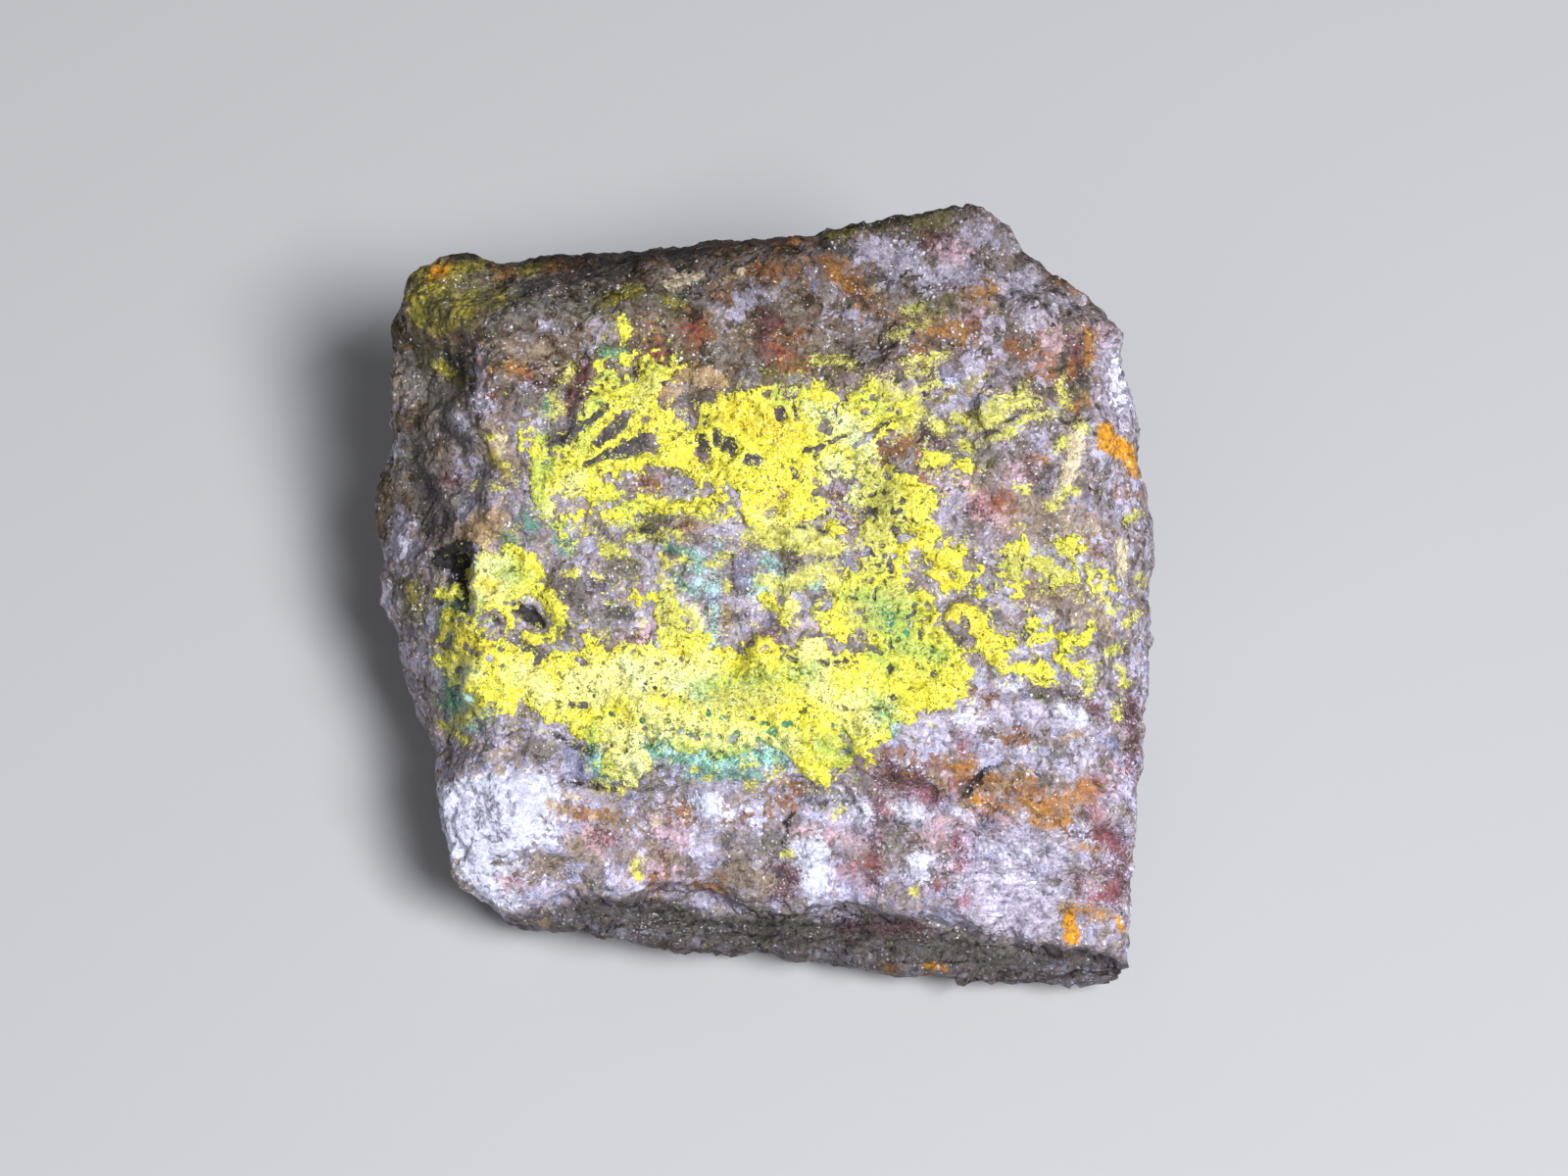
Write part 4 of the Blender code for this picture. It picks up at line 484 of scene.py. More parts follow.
        [(-6.4, -16.8, 0.2), (-6.0, -17.2, 0.25)], [(-4.2, -15.2, 0.3), (-3.4, -16.6, 0.3)],
        [(2.2, -17.0, 0.4), (2.6, -16.8, 0.35)],
        # Painted shade: these two strokes darken the rock under the crusts, so that their gaps and pinholes
        # look dark
        [(-24.8, -6.0, 1.6), (-19.0, -9.0, 2.6), (-12.0, -10.0, 3.4), (0.0, -10.0, 4.0), (12.0, -8.6, 3.2)],
        [(17.0, -8.0, 2.0), (14.0, -2.0, 2.2), (11.6, 4.0, 1.2), (12.6, 10.0, 2.2)],
    ],
    # Painted shade: near-black in holes and clefts
    "black": [
        [(-32.6, 4.2, 1.2), (-30.6, 4.8, 1.4), (-31.0, 2.2, 1.1), (-30.4, -0.8, 0.6)],
        [(-32.6, 1.0, 0.3), (-32.8, -0.4, 0.25)],
        [(-24.9, -0.8, 0.6), (-23.6, -1.7, 0.85), (-22.7, -2.5, 0.5)],
        [(-27.4, -1.8, 0.25), (-26.8, -2.2, 0.35)],
        [(24.0, -16.9, 0.1), (22.8, -17.25, 0.25), (21.9, -18.2, 0.35), (21.2, -18.9, 0.3),
         (20.8, -19.8, 0.35), (20.3, -20.2, 0.2)],
        [(-29.9, 25.8, 0.2), (-30.0, 22.4, 0.2), (-29.4, 20.4, 0.2), (-28.9, 18.0, 0.15)],
        [(-21.8, -13.4, 0.15), (-19.6, -14.8, 0.25), (-17.8, -15.4, 0.25)],
        [(-19.8, -18.6, 0.25), (-18.2, -18.8, 0.35), (-16.4, -19.2, 0.25), (-14.6, -19.4, 0.2)],
        [(-13.0, -18.9, 0.1), (-11.4, -17.4, 0.12), (-10.2, -16.9, 0.1)],
        [(3.2, -21.8, 0.25), (2.5, -22.6, 0.3), (2.6, -23.6, 0.3), (2.0, -24.8, 0.2)],
        [(5.2, 8.2, 0.2), (6.8, 8.8, 0.2)], [(5.6, 7.2, 0.25), (6.6, 6.8, 0.2)],
        [(3.4, 7.4, 0.15), (4.4, 7.4, 0.15)], [(-3.0, 4.6, 0.1), (-3.1, 0.8, 0.12)],
        [(22.4, 17.0, 0.15), (24.2, 17.2, 0.18)], [(24.3, 18.0, 0.12), (26.2, 18.7, 0.15)],
        [(25.7, 21.6, 0.25), (25.8, 20.9, 0.15)], [(-12.2, 7.2, 0.3), (-11.0, 6.8, 0.25)],
        [(-20.0, 20.4, 0.1), (-18.6, 23.6, 0.12)], [(-23.2, 22.3, 0.2), (-22.8, 21.8, 0.2)],
        [(4.8, 35.2, 0.2), (5.2, 34.2, 0.15)],
    ],
    "teal": [
        [(-17.4, -14.8, 0.4), (-17.2, -16.6, 0.6), (-15.6, -18.4, 0.5)],
        [(-12.4, -15.2, 0.8), (-9.0, -15.7, 0.9), (-5.0, -16.2, 1.2), (-1.0, -16.2, 1.2), (1.8, -16.0, 0.8)],
        [(-7.4, -17.8, 0.3), (-5.0, -17.6, 0.5), (-1.0, -17.8, 0.4)],
        [(-31.9, -8.2, 0.5), (-31.8, -10.4, 0.8), (-29.8, -11.2, 0.9), (-28.2, -11.6, 0.6)],
        [(-32.4, -3.2, 0.5), (-32.2, -1.0, 0.4), (-30.4, -0.8, 0.5)],
        [(-31.6, -11.4, 0.7), (-29.4, -12.6, 0.7)], [(-24.4, 8.4, 0.4), (-23.6, 7.4, 0.5)],
        [(-26.0, 6.4, 0.3), (-25.4, 5.6, 0.3)], [(-20.6, 5.8, 0.5), (-19.8, 5.2, 0.4)],
        [(-14.6, 8.0, 0.5), (-13.4, 7.8, 0.5)], [(-9.4, 5.6, 0.4), (-7.6, 4.4, 0.4), (-6.4, 3.0, 0.3)],
        [(-9.0, 2.2, 0.3), (-7.0, 0.8, 0.3)], [(0.4, 3.9, 0.3), (1.6, 3.2, 0.3)],
        [(5.2, 3.2, 0.25), (5.6, 1.8, 0.3)], [(-21.8, 20.4, 0.4), (-21.6, 19.2, 0.4)],
        [(-16.0, 25.2, 0.4), (-14.4, 25.0, 0.4)], [(17.6, -5.0, 0.6), (19.0, -6.6, 0.5)],
        [(12.4, -11.6, 0.6), (13.0, -13.2, 0.5)],
        [(-15.0, -11.0, 1.0), (-8.0, -12.0, 1.2), (0.0, -13.4, 1.0), (8.0, -12.0, 1.0)],
        [(13.0, -2.0, 1.4), (14.4, -4.4, 1.2)],
    ],
    "aqua": [
        [(2.4, 6.6, 0.3), (3.4, 6.4, 0.3)], [(0.2, 4.2, 0.25), (1.4, 3.6, 0.25)],
        [(-0.4, 1.6, 0.8), (1.8, 1.8, 0.9)], [(4.6, 2.2, 0.3), (5.4, 1.4, 0.35)],
        [(-7.0, 4.6, 0.3), (-6.2, 4.2, 0.3)], [(-6.0, 2.0, 0.4), (-4.8, 0.8, 0.4)],
        [(-12.9, -15.9, 0.7), (-11.6, -16.2, 0.5)], [(-10.2, -15.0, 0.4), (-9.2, -15.3, 0.4)],
        [(-4.2, -16.9, 0.4), (-3.2, -16.6, 0.4)], [(0.4, -15.4, 0.4), (1.2, -15.8, 0.35)],
        [(-7.6, -15.9, 0.55), (-5.6, -15.8, 0.6)], [(-30.4, -10.6, 0.5), (-29.0, -11.6, 0.5)],
        [(-31.4, -13.0, 0.35), (-30.6, -13.2, 0.35)], [(-2.0, -15.6, 0.6), (-1.0, -16.0, 0.5)],
        [(0.4, -16.6, 0.5), (1.8, -16.0, 0.5)], [(-16.8, -15.4, 0.35), (-16.6, -17.2, 0.3)],
        [(-30.6, -9.8, 0.7), (-29.2, -10.8, 0.6)], [(12.6, -11.2, 0.5), (13.2, -12.8, 0.4)],
        [(-5.2, -6.8, 0.3), (-4.6, 5.4, 0.2)],
    ],
    "moss": [
        [(-35.4, 30.6, 0.8), (-35.0, 28.8, 0.7)],
        [(-33.4, 27.4, 0.4), (-32.0, 27.8, 0.6), (-30.4, 29.8, 0.9), (-29.4, 31.0, 0.6)],
        [(-35.0, 33.6, 0.6), (-31.8, 33.6, 0.6), (-28.8, 34.1, 0.5)],
        [(-34.8, 32.0, 0.4), (-32.4, 31.8, 0.4)], [(-24.4, 33.6, 0.4), (-23.0, 34.0, 0.45)],
        [(-26.8, 30.8, 0.4), (-26.4, 30.4, 0.3)], [(-33.0, 23.8, 0.5), (-31.8, 23.2, 0.5)],
        [(-16.0, 30.6, 0.35), (-14.4, 31.0, 0.5), (-12.6, 31.6, 0.45)],
        [(-9.8, 30.4, 0.3), (-8.2, 30.0, 0.3)], [(6.8, 37.6, 0.4), (9.2, 37.9, 0.4)],
        [(-35.8, 1.2, 0.4), (-35.7, -0.8, 0.3)], [(18.2, 20.5, 0.2), (20.6, 21.8, 0.28), (22.9, 23.1, 0.28)],
        [(-17.0, -19.4, 0.3), (-14.6, -19.6, 0.3)], [(-27.4, 14.6, 0.5), (-26.0, 12.9, 0.4)],
    ],
    "dusting": [
        [(22.6, 19.0, 0.7), (24.4, 20.0, 1.0), (26.0, 20.2, 0.8), (28.2, 20.1, 0.35)],
        [(26.5, 20.8, 0.6), (26.6, 22.0, 0.3)], [(21.6, 17.6, 0.5), (23.2, 18.2, 0.8), (25.0, 19.2, 0.5)],
        [(21.8, 15.8, 0.25), (23.2, 16.2, 0.35), (24.4, 16.9, 0.5), (25.4, 17.4, 0.5), (27.2, 18.6, 0.4),
         (29.8, 19.2, 0.3)],
        [(20.4, 16.0, 0.4), (21.2, 15.4, 0.4)], [(19.8, 18.6, 0.5), (21.2, 18.0, 0.5)],
        [(17.2, 18.4, 0.5), (18.4, 17.2, 0.4)], [(14.6, 24.4, 0.35), (17.0, 24.6, 0.4), (19.0, 25.1, 0.25)],
        [(15.0, 23.4, 0.3), (16.8, 23.3, 0.3)], [(15.2, 21.2, 0.25), (17.8, 22.3, 0.25)],
        [(11.2, 22.0, 0.7), (13.0, 21.0, 0.9), (15.4, 19.8, 0.9), (14.8, 17.6, 0.9)],
        [(32.2, 18.0, 0.5), (32.8, 17.2, 0.4)], [(30.2, 15.4, 0.4), (31.0, 16.5, 0.35)],
        [(30.4, 22.2, 0.3), (31.0, 19.8, 0.4)], [(13.4, 27.0, 0.4), (14.6, 27.2, 0.35)],
        [(14.8, 29.6, 0.35), (16.0, 29.9, 0.4)], [(15.0, 28.2, 0.2), (16.6, 28.0, 0.25)],
        [(5.4, 24.4, 0.35), (7.4, 24.6, 0.3), (9.2, 24.1, 0.3)],
        [(-21.4, 21.0, 0.4), (-20.8, 19.4, 0.5), (-21.6, 18.6, 0.3)],
        [(-19.6, 23.6, 0.4), (-20.2, 22.4, 0.3)],
        [(-1.6, 6.2, 0.6), (0.0, 6.8, 1.2), (4.4, 6.2, 1.5), (7.6, 5.4, 0.9)],
        [(-4.2, 4.3, 0.5), (-3.4, 4.6, 0.45)],
        [(0.2, 2.0, 0.7), (2.4, 1.4, 0.9), (6.4, 3.4, 1.0), (7.6, 0.8, 0.9)],
        [(-10.8, 9.2, 0.5), (-7.4, 9.4, 0.6), (-4.6, 8.6, 0.6)], [(-7.8, -1.2, 0.5), (-6.6, -2.6, 0.5)],
        [(-13.2, 6.4, 0.4), (-8.8, 6.6, 0.4)], [(-10.4, 2.2, 0.4), (-9.4, 1.0, 0.5)],
        [(-15.8, 8.2, 0.5), (-12.6, 7.6, 0.4)], [(33.2, -9.2, 0.3), (33.5, -6.8, 0.3)],
        [(-29.0, -11.2, 1.0), (-31.0, -12.4, 0.6)], [(-19.0, 7.6, 0.4), (-17.4, 7.0, 0.4)],
    ],
    "film": [
        [(16.4, 13.7, 0.45), (17.6, 14.3, 0.55), (18.9, 14.6, 0.4)], [(20.2, 13.9, 0.4), (21.0, 13.6, 0.35)],
        [(25.8, 11.6, 0.3), (26.9, 11.2, 0.4)],
        [(29.2, 9.4, 0.45), (30.0, 9.8, 0.5), (30.7, 10.7, 0.4), (31.4, 11.3, 0.35), (32.2, 11.0, 0.35)],
        [(20.0, 18.7, 0.25), (21.0, 18.0, 0.25)], [(24.8, 17.0, 0.25), (25.4, 17.4, 0.3)],
        [(20.6, 15.9, 0.35), (21.2, 15.4, 0.35)], [(36.2, -10.6, 0.45), (36.1, -11.9, 0.35)],
        [(37.0, 8.0, 0.3), (38.4, 8.9, 0.3)], [(38.5, 2.2, 0.35), (38.8, 1.4, 0.3)],
        [(35.5, -1.3, 0.35), (36.2, -0.8, 0.3)], [(37.0, -2.6, 0.3), (38.2, -1.2, 0.3)],
        [(35.2, -5.4, 0.4), (36.2, -5.0, 0.5)], [(36.4, -7.0, 0.3), (37.0, -8.6, 0.3)],
        [(33.0, -6.8, 0.4), (33.4, -9.2, 0.35)], [(-13.0, -26.8, 0.45), (-12.7, -28.2, 0.45)],
        [(7.3, -22.1, 0.3), (8.1, -21.4, 0.35)], [(2.3, -26.0, 0.35), (2.8, -25.9, 0.35)],
        [(15.4, -29.6, 0.3), (15.6, -29.8, 0.25)], [(-16.6, 5.9, 0.5), (-15.4, 5.0, 0.75), (-14.2, 4.9, 0.6)],
        [(-13.9, 6.3, 0.3), (-13.2, 6.2, 0.3)], [(-20.0, 2.6, 0.4), (-19.1, 2.7, 0.4)],
        [(-17.3, 2.7, 0.3), (-16.4, 2.1, 0.3)], [(-10.2, 4.2, 0.4), (-9.8, 3.6, 0.5)],
        [(-9.0, 6.8, 0.35), (-8.4, 6.4, 0.3)], [(-8.2, 4.2, 0.25), (-7.5, 4.0, 0.25)],
        [(-15.7, -0.5, 0.3), (-15.3, -0.5, 0.3)], [(-16.6, -3.8, 0.3), (-16.0, -3.9, 0.3)],
        [(-13.4, 0.4, 0.2), (-11.6, 0.2, 0.25)], [(-12.2, -2.2, 0.15), (-12.1, -2.8, 0.15)],
        [(-5.4, 3.7, 0.45), (-4.6, 3.4, 0.4)], [(-3.8, 1.5, 0.35), (-3.6, 1.1, 0.35)],
        [(-27.9, 16.7, 0.3), (-27.6, 16.6, 0.3)], [(-26.2, 13.9, 0.25), (-26.0, 13.9, 0.25)],
        [(-29.3, 11.8, 0.3), (-29.1, 11.9, 0.25)], [(-27.4, 11.6, 0.35), (-26.6, 11.3, 0.35)],
        [(-33.0, -12.5, 0.3), (-30.0, -14.5, 0.4)], [(-19.6, -11.8, 0.7), (-21.4, -11.2, 0.6)],
        [(0.8, -17.9, 0.4), (1.6, -17.4, 0.5)], [(-2.0, -17.0, 0.3), (-0.6, -16.7, 0.3)],
        [(-8.8, -14.8, 0.3), (-8.4, -15.3, 0.25)], [(-4.4, -15.4, 0.25), (-4.0, -15.8, 0.25)],
        [(-7.2, -17.2, 0.2), (-6.8, -17.4, 0.2)], [(-5.8, -18.2, 0.25), (-5.4, -18.0, 0.25)],
        [(-1.4, -18.8, 0.3), (-1.0, -19.0, 0.25)], [(8.0, -13.0, 0.5), (12.4, -12.8, 0.5)],
        [(0.2, -0.6, 0.35), (1.2, -0.8, 0.3)], [(34.8, 0.0, 0.35), (35.2, -0.2, 0.35)],
        [(-14.8, 28.4, 0.3), (-14.0, 27.2, 0.3)],
    ],
}
# Tints of the crusts, as strokes
CRUST_TINTS = {
    "pale": [
        [(-19.0, -9.0, 2.0), (-12.0, -7.2, 2.2), (-6.0, -7.6, 1.8)],
        [(-14.0, -14.4, 2.4), (-13.6, -17.4, 1.8), (-10.6, -13.6, 1.6)],
        [(-11.6, -12.0, 1.8), (-4.0, -14.4, 1.8), (2.0, -14.6, 1.6)], [(8.6, -10.6, 1.6), (11.0, -12.0, 2.0)],
        [(7.2, 18.2, 1.5), (10.4, 16.4, 1.2)], [(-28.4, 0.6, 1.6), (-26.0, 2.0, 1.2)],
        [(0.4, 9.6, 1.0), (6.0, -8.8, 1.6)], [(-22.2, 8.8, 1.2), (-19.0, 12.4, 0.8)],
        [(7.2, 13.6, 1.2), (8.0, 11.0, 1.2)], [(-24.6, -7.0, 1.4), (-22.4, -9.4, 1.2)],
    ],
    "green": [
        [(-6.4, -8.6, 0.6), (-0.6, -8.2, 0.8), (5.0, -7.2, 0.6)],
        [(10.0, 0.8, 0.8), (13.6, -2.0, 1.9), (14.6, -4.6, 1.6), (18.0, -5.6, 0.9)],
        [(11.4, -5.8, 0.7), (12.8, -6.6, 0.9)], [(-26.4, 2.8, 0.7), (-25.0, 2.2, 0.8)],
        [(-30.0, -0.6, 0.7), (-28.6, -1.6, 0.7)],
        [(-17.6, -13.6, 0.6), (-16.8, -15.4, 0.4), (-16.0, -17.6, 0.4)],
        [(6.0, -15.2, 0.9), (8.4, -15.6, 0.7)], [(-16.4, 22.8, 0.6), (-14.8, 22.4, 0.5)],
        [(-11.0, 24.4, 0.7), (-9.6, 24.6, 0.6)], [(1.4, 21.2, 0.8), (3.2, 21.8, 0.8)],
        [(-23.4, 8.8, 0.7), (-21.4, 16.6, 0.8)], [(-22.2, 7.6, 0.5), (-20.4, 7.0, 0.5)],
        [(12.0, -10.8, 0.7), (12.8, -12.4, 0.7)],
        [(-10.8, -15.0, 0.7), (-4.0, -15.8, 0.7), (2.0, -15.4, 0.7)],
        [(-18.6, 15.6, 0.3), (-16.8, 20.4, 0.4)], [(10.6, 20.6, 0.5), (12.6, 19.4, 0.5)],
        [(-14.8, 9.4, 0.4), (-12.4, 9.8, 0.5)],
    ],
    "aqua": [
        [(4.2, 19.6, 0.4), (7.6, 18.4, 0.5), (9.6, 16.4, 0.5), (11.6, 15.4, 0.4)],
        [(-13.4, -7.0, 0.4), (-12.4, -8.4, 0.5)], [(-8.8, -9.0, 0.6), (-6.4, -9.4, 0.6)],
        [(-13.4, -16.4, 0.4), (-12.8, -17.4, 0.4)], [(-12.0, -14.6, 0.6), (-9.6, -14.6, 0.5)],
        [(12.2, -12.0, 0.6), (13.0, -10.6, 0.5)], [(7.6, 13.4, 0.8), (8.4, 11.2, 0.7)],
        [(-28.8, 3.4, 0.6), (-27.0, 3.6, 0.7)], [(-31.2, -7.6, 0.6), (-29.8, -7.4, 0.5)],
    ],
    "olive": [
        [(-6.0, -9.8, 1.0), (-1.6, -10.4, 1.6), (1.0, -9.8, 1.0)],
        [(11.6, 13.0, 2.4), (12.0, 8.4, 2.8), (11.0, 5.0, 2.2)], [(10.0, -1.4, 1.8), (14.0, 0.4, 1.4)],
        [(25.0, 3.6, 1.8), (32.0, 3.2, 1.8)], [(-12.0, 21.4, 0.8), (-9.8, 22.8, 0.8)],
        [(-14.8, 17.4, 0.6), (-12.8, 20.8, 0.8)], [(-9.6, -2.6, 1.0), (-9.8, 0.4, 0.8)],
    ],
    "gold": [
        [(-16.8, 16.6, 0.8), (-15.4, 17.6, 0.6)], [(-3.0, 18.8, 1.6), (2.0, 17.0, 1.8)],
        [(0.0, 10.0, 1.2), (2.0, 10.2, 0.9)], [(-29.6, -4.4, 1.4), (-28.4, -4.4, 1.0)],
        [(-27.8, 1.6, 0.7), (-27.4, 0.4, 0.6)], [(19.0, -1.4, 1.0), (23.0, -4.0, 1.0)],
        [(18.6, 1.8, 0.8), (18.0, 3.4, 0.8)], [(-1.0, -8.0, 0.7), (0.0, -8.4, 0.6)],
    ],
}
# Ledge along the foot of the show face, as (X, Y) points
LEDGE_LINE = [
    (-27.0, -32.0), (-19.8, -30.3), (-12.4, -29.7), (-7.6, -30.2), (-5.0, -31.8), (3.4, -31.9), (9.2, -31.4),
    (15.0, -32.0), (19.6, -33.4), (24.0, -34.6), (32.0, -35.2), (39.0, -36.4),
]
# Edge of the dark slope along the top, as (X, Y) points
BROW_LINE = [
    (-40.0, 35.0), (-28.0, 33.6), (-18.0, 32.8), (-6.0, 34.2), (2.0, 35.6), (10.0, 37.2), (18.0, 38.8),
    (40.0, 46.0),
]
# Holes, clefts and standing crystals of the show face: a stroke with its depth in millimetres
FINE_FORMS = [
    ([(-32.2, 3.6, 0.9), (-30.8, 3.8, 1.1), (-31.0, 1.6, 0.7), (-30.4, -0.4, 0.4)], 1.2),
    ([(-18.0, 24.6, 0.5), (-19.2, 21.8, 0.8), (-20.2, 19.6, 0.5)], 0.8),
    ([(24.0, -16.9, 0.15), (22.8, -17.3, 0.3), (21.9, -18.2, 0.35), (20.8, -19.6, 0.35)], 0.8),
    ([(-24.9, -0.8, 0.6), (-23.6, -1.7, 0.85), (-22.7, -2.5, 0.5)], 0.6),
    ([(-1.9, 4.0, 0.8), (-1.9, 1.4, 0.8)], -0.45), ([(-15.6, 27.8, 0.8), (-17.6, 25.0, 0.5)], -0.5),
    ([(32.0, 16.9, 0.8), (31.3, 13.0, 0.8), (29.9, 10.4, 0.5)], -0.5),
    ([(22.6, 19.0, 0.7), (24.4, 20.0, 1.0), (28.2, 20.1, 0.4)], -0.35),
    ([(21.8, 15.8, 0.3), (24.4, 16.9, 0.5), (27.2, 18.6, 0.4), (29.8, 19.2, 0.3)], -0.35),
    ([(33.2, 26.8, 0.8), (33.1, 24.4, 0.5)], -0.35),
    ([(21.0, -2.2, 0.6), (26.0, -2.8, 1.0), (28.0, -4.2, 0.4)], 0.5),
    ([(-21.6, -13.4, 0.3), (-18.8, -15.0, 0.4), (-17.8, -15.4, 0.3)], 0.5),
    ([(-19.8, -18.6, 0.3), (-16.4, -19.2, 0.3)], 0.5), ([(5.2, 8.2, 0.3), (6.8, 8.8, 0.3)], 0.4),
    ([(5.4, -25.4, 1.5), (5.2, -28.8, 1.7)], -0.45), ([(-31.4, 25.6, 1.8), (-31.2, 22.6, 1.8)], 0.8),
    ([(13.4, 15.4, 1.4), (14.6, 14.0, 1.2)], -0.5),
    ([(3.2, -21.8, 0.3), (2.6, -23.6, 0.3), (2.0, -24.8, 0.3), (2.2, -29.6, 0.4)], 0.4),
    ([(-8.8, 21.6, 1.2), (-5.8, 22.8, 1.2)], -0.4), ([(-6.0, -20.8, 0.8), (-4.4, -21.4, 1.2)], -0.4),
]
# Where the feldspar is finely fibrous
FIBRES = [
    [(21.6, -24.0, 1.6), (30.0, -25.2, 1.8)], [(17.6, -27.2, 1.8), (24.4, -30.0, 4.2), (28.0, -31.4, 3.4)],
    [(15.0, -13.4, 1.5), (21.0, -11.6, 1.6), (29.6, -11.8, 1.5), (33.8, -13.8, 1.0)],
]

# Chips of the rock: size of their cells in millimetres, slope of their faces, and the steps between them
ROCK_CHIPS = ((2.9, 0.17, 0.22), (1.3, 0.22, 0.12), (0.75, 0.28, 0.07))
# How far the chips' cells are bent, the size of the bends, and how wide chips blend at their edges, in cells
CHIP_BEND = 0.25
CHIP_BEND_SIZE = 0.8
CHIP_BLEND = 0.16
# Layers of the ledge: how many to a drawn unit, their height in millimetres, and where along X they set in
LEDGE_LAYERS = 0.62
LEDGE_HEIGHT = 0.8
LEDGE_START = (-27.0, -20.0)
# Faces that are split once more: the least cosine between their normal and the show face's, and their height
REFINED_LEAN = 0.28
REFINED_HEIGHT = -17.0 * MM
# Height of the fibres in millimetres, and the scale of their noise along X, Y and Z
FIBRE_HEIGHT = 0.16
FIBRE_STRETCH = np.array((0.22, 1.0, 1.0))
# Where a point comes to count as part of the show face, for its detail and for its stains: the cosine between
# its normal and the show face's, and its height over the show plane in millimetres
DETAIL_LEAN, DETAIL_HEIGHT = (0.05, 0.3), (-16.0, -11.0)
STAIN_LEAN, STAIN_HEIGHT = (-0.02, 0.10), (-24.0, -20.0)

# Stains that the hidden sides get as well, each with its level, and the height and size of their noise
SCATTERED = {"lavender": -0.5, "tan": -0.6, "rust": -1.1, "maroon": -1.6, "dark": -0.9, "white": -1.6}
SCATTER_NOISE = 2.6
SCATTER_SIZE = 8.0
# Distances are told apart up to this many drawn units
FAR = 9.0
# Stored distances stop at this many drawn units, and those from the crusts a little further out
MASK_LIMIT = 3.0
HALO_LIMIT = 4.0
# How warm the rock's colours are, along Y, along X, at the foot and on the hidden sides. The warm colours are
# also darker, and that darkness is partly painted shade of the upper part and the foot
WARM_ALONG_Y = ((-18.0, -11.0, 12.0, 24.0), (0.0, 0.25, 0.35, 1.0))
WARM_ALONG_X = ((4.0, 18.0), (1.0, 0.72))
WARM_FOOT = 0.6
WARM_HIDDEN = 0.6
# How much painted shade darkens the foot, the slope along the top and the upper part of the face, the last
# along X
FOOT_PAINTED_SHADE = 0.60
BROW_PAINTED_SHADE = 0.84
UPPER_PAINTED_SHADE = ((-31.0, -24.0, 0.0, 8.0), (0.0, 0.36, 0.36, 0.3))

# Noises of the crusts' edges, broken stretches and lumps: height, size in millimetres, and shift
RAGGED_NOISE = ((0.75, 1.0, 1.0), (0.75, 0.5, 2.0), (0.45, 0.28, 3.0))
BROKEN_NOISE = ((2.0, 0.7, 4.0), (1.5, 0.36, 5.0))
LUMP_NOISE = ((0.09, 1.5, 11.0), (0.14, 0.40, 12.0))
# Knobs of the crusts: their size and height in millimetres
KNOB_SIZE = 0.65
KNOB_HEIGHT = 0.26
# Pinholes: their spacing in millimetres, the share of places without one, and their radius in drawn units,
# the least and what chance adds
HOLE_SPACING = 1.05
HOLELESS = 0.3
HOLE_RADIUS = (0.10, 0.5)
# Grid of a crust: its margin in drawn units, and how much of the rock's relief shows through the crust
GRID_MARGIN = 3.0
RELIEF_KEPT = 0.35
# Crusts: the height of their edges, how far their feet go into the rock, and their least thickness
CRUST_EDGE = 0.08 * MM
CRUST_FOOT = 0.30 * MM
CRUST_LEAST = 0.34 * MM


def smooth_step(low, high, value):
    """0 at low, 1 at high, and smooth between them."""
    t = np.clip((value - low) / (high - low), 0.0, 1.0)
    return t * t * (3.0 - 2.0 * t)


def stroke_inside(strokes, x, y):
    """How far inside the strokes each point is, in drawn units: below zero outside them."""
    best = np.full(len(x), -FAR)
    for stroke in strokes:
        for (x0, y0, r0), (x1, y1, r1) in zip(stroke, stroke[1:]):
            run_x, run_y = x1 - x0, y1 - y0
            t = ((x - x0) * run_x + (y - y0) * run_y) / (run_x * run_x + run_y * run_y)
            t = np.clip(t, 0.0, 1.0)
            away = np.hypot(x - x0 - t * run_x, y - y0 - t * run_y)
            best = np.maximum(best, r0 + t * (r1 - r0) - away)
    return best


def outline_inside(outlines, x, y):
    """How far inside the outlines each point is, in drawn units: below zero outside them."""
    best = np.full(len(x), -FAR)
    for outline in outlines:
        away = np.full(len(x), FAR)
        within = np.zeros(len(x), dtype=bool)
        for (x0, y0), (x1, y1) in zip(outline, outline[1:] + outline[:1]):
            run_x, run_y = x1 - x0, y1 - y0
            t = np.clip(((x - x0) * run_x + (y - y0) * run_y) / (run_x * run_x + run_y * run_y), 0.0, 1.0)
            away = np.minimum(away, np.hypot(x - x0 - t * run_x, y - y0 - t * run_y))
            if run_y != 0.0:
                crosses = ((y0 > y) != (y1 > y)) & (x < x0 + (y - y0) * run_x / run_y)
                within ^= crosses
        best = np.maximum(best, np.where(within, away, -away))
    return best


def noise_at(points, size, shift=0.0):
    """Smooth noise from about -1 to 1, with lumps of this size."""
    scaled = (points / size + shift).tolist()
    return np.array([noise.noise(p) for p in scaled])


def layered_noise(points, layers, start=0.0):
    """Noises added up. Each layer is its height, its size and its shift."""
    return sum((height * noise_at(points, size, shift) for height, size, shift in layers), start)


def cell_random(centres, seed):
    """A random number from 0 to 1 for each cell centre."""
    return np.modf(np.abs(np.sin(centres @ np.array((12.99, 78.23, 37.72)) + seed) * 43758.5))[0]


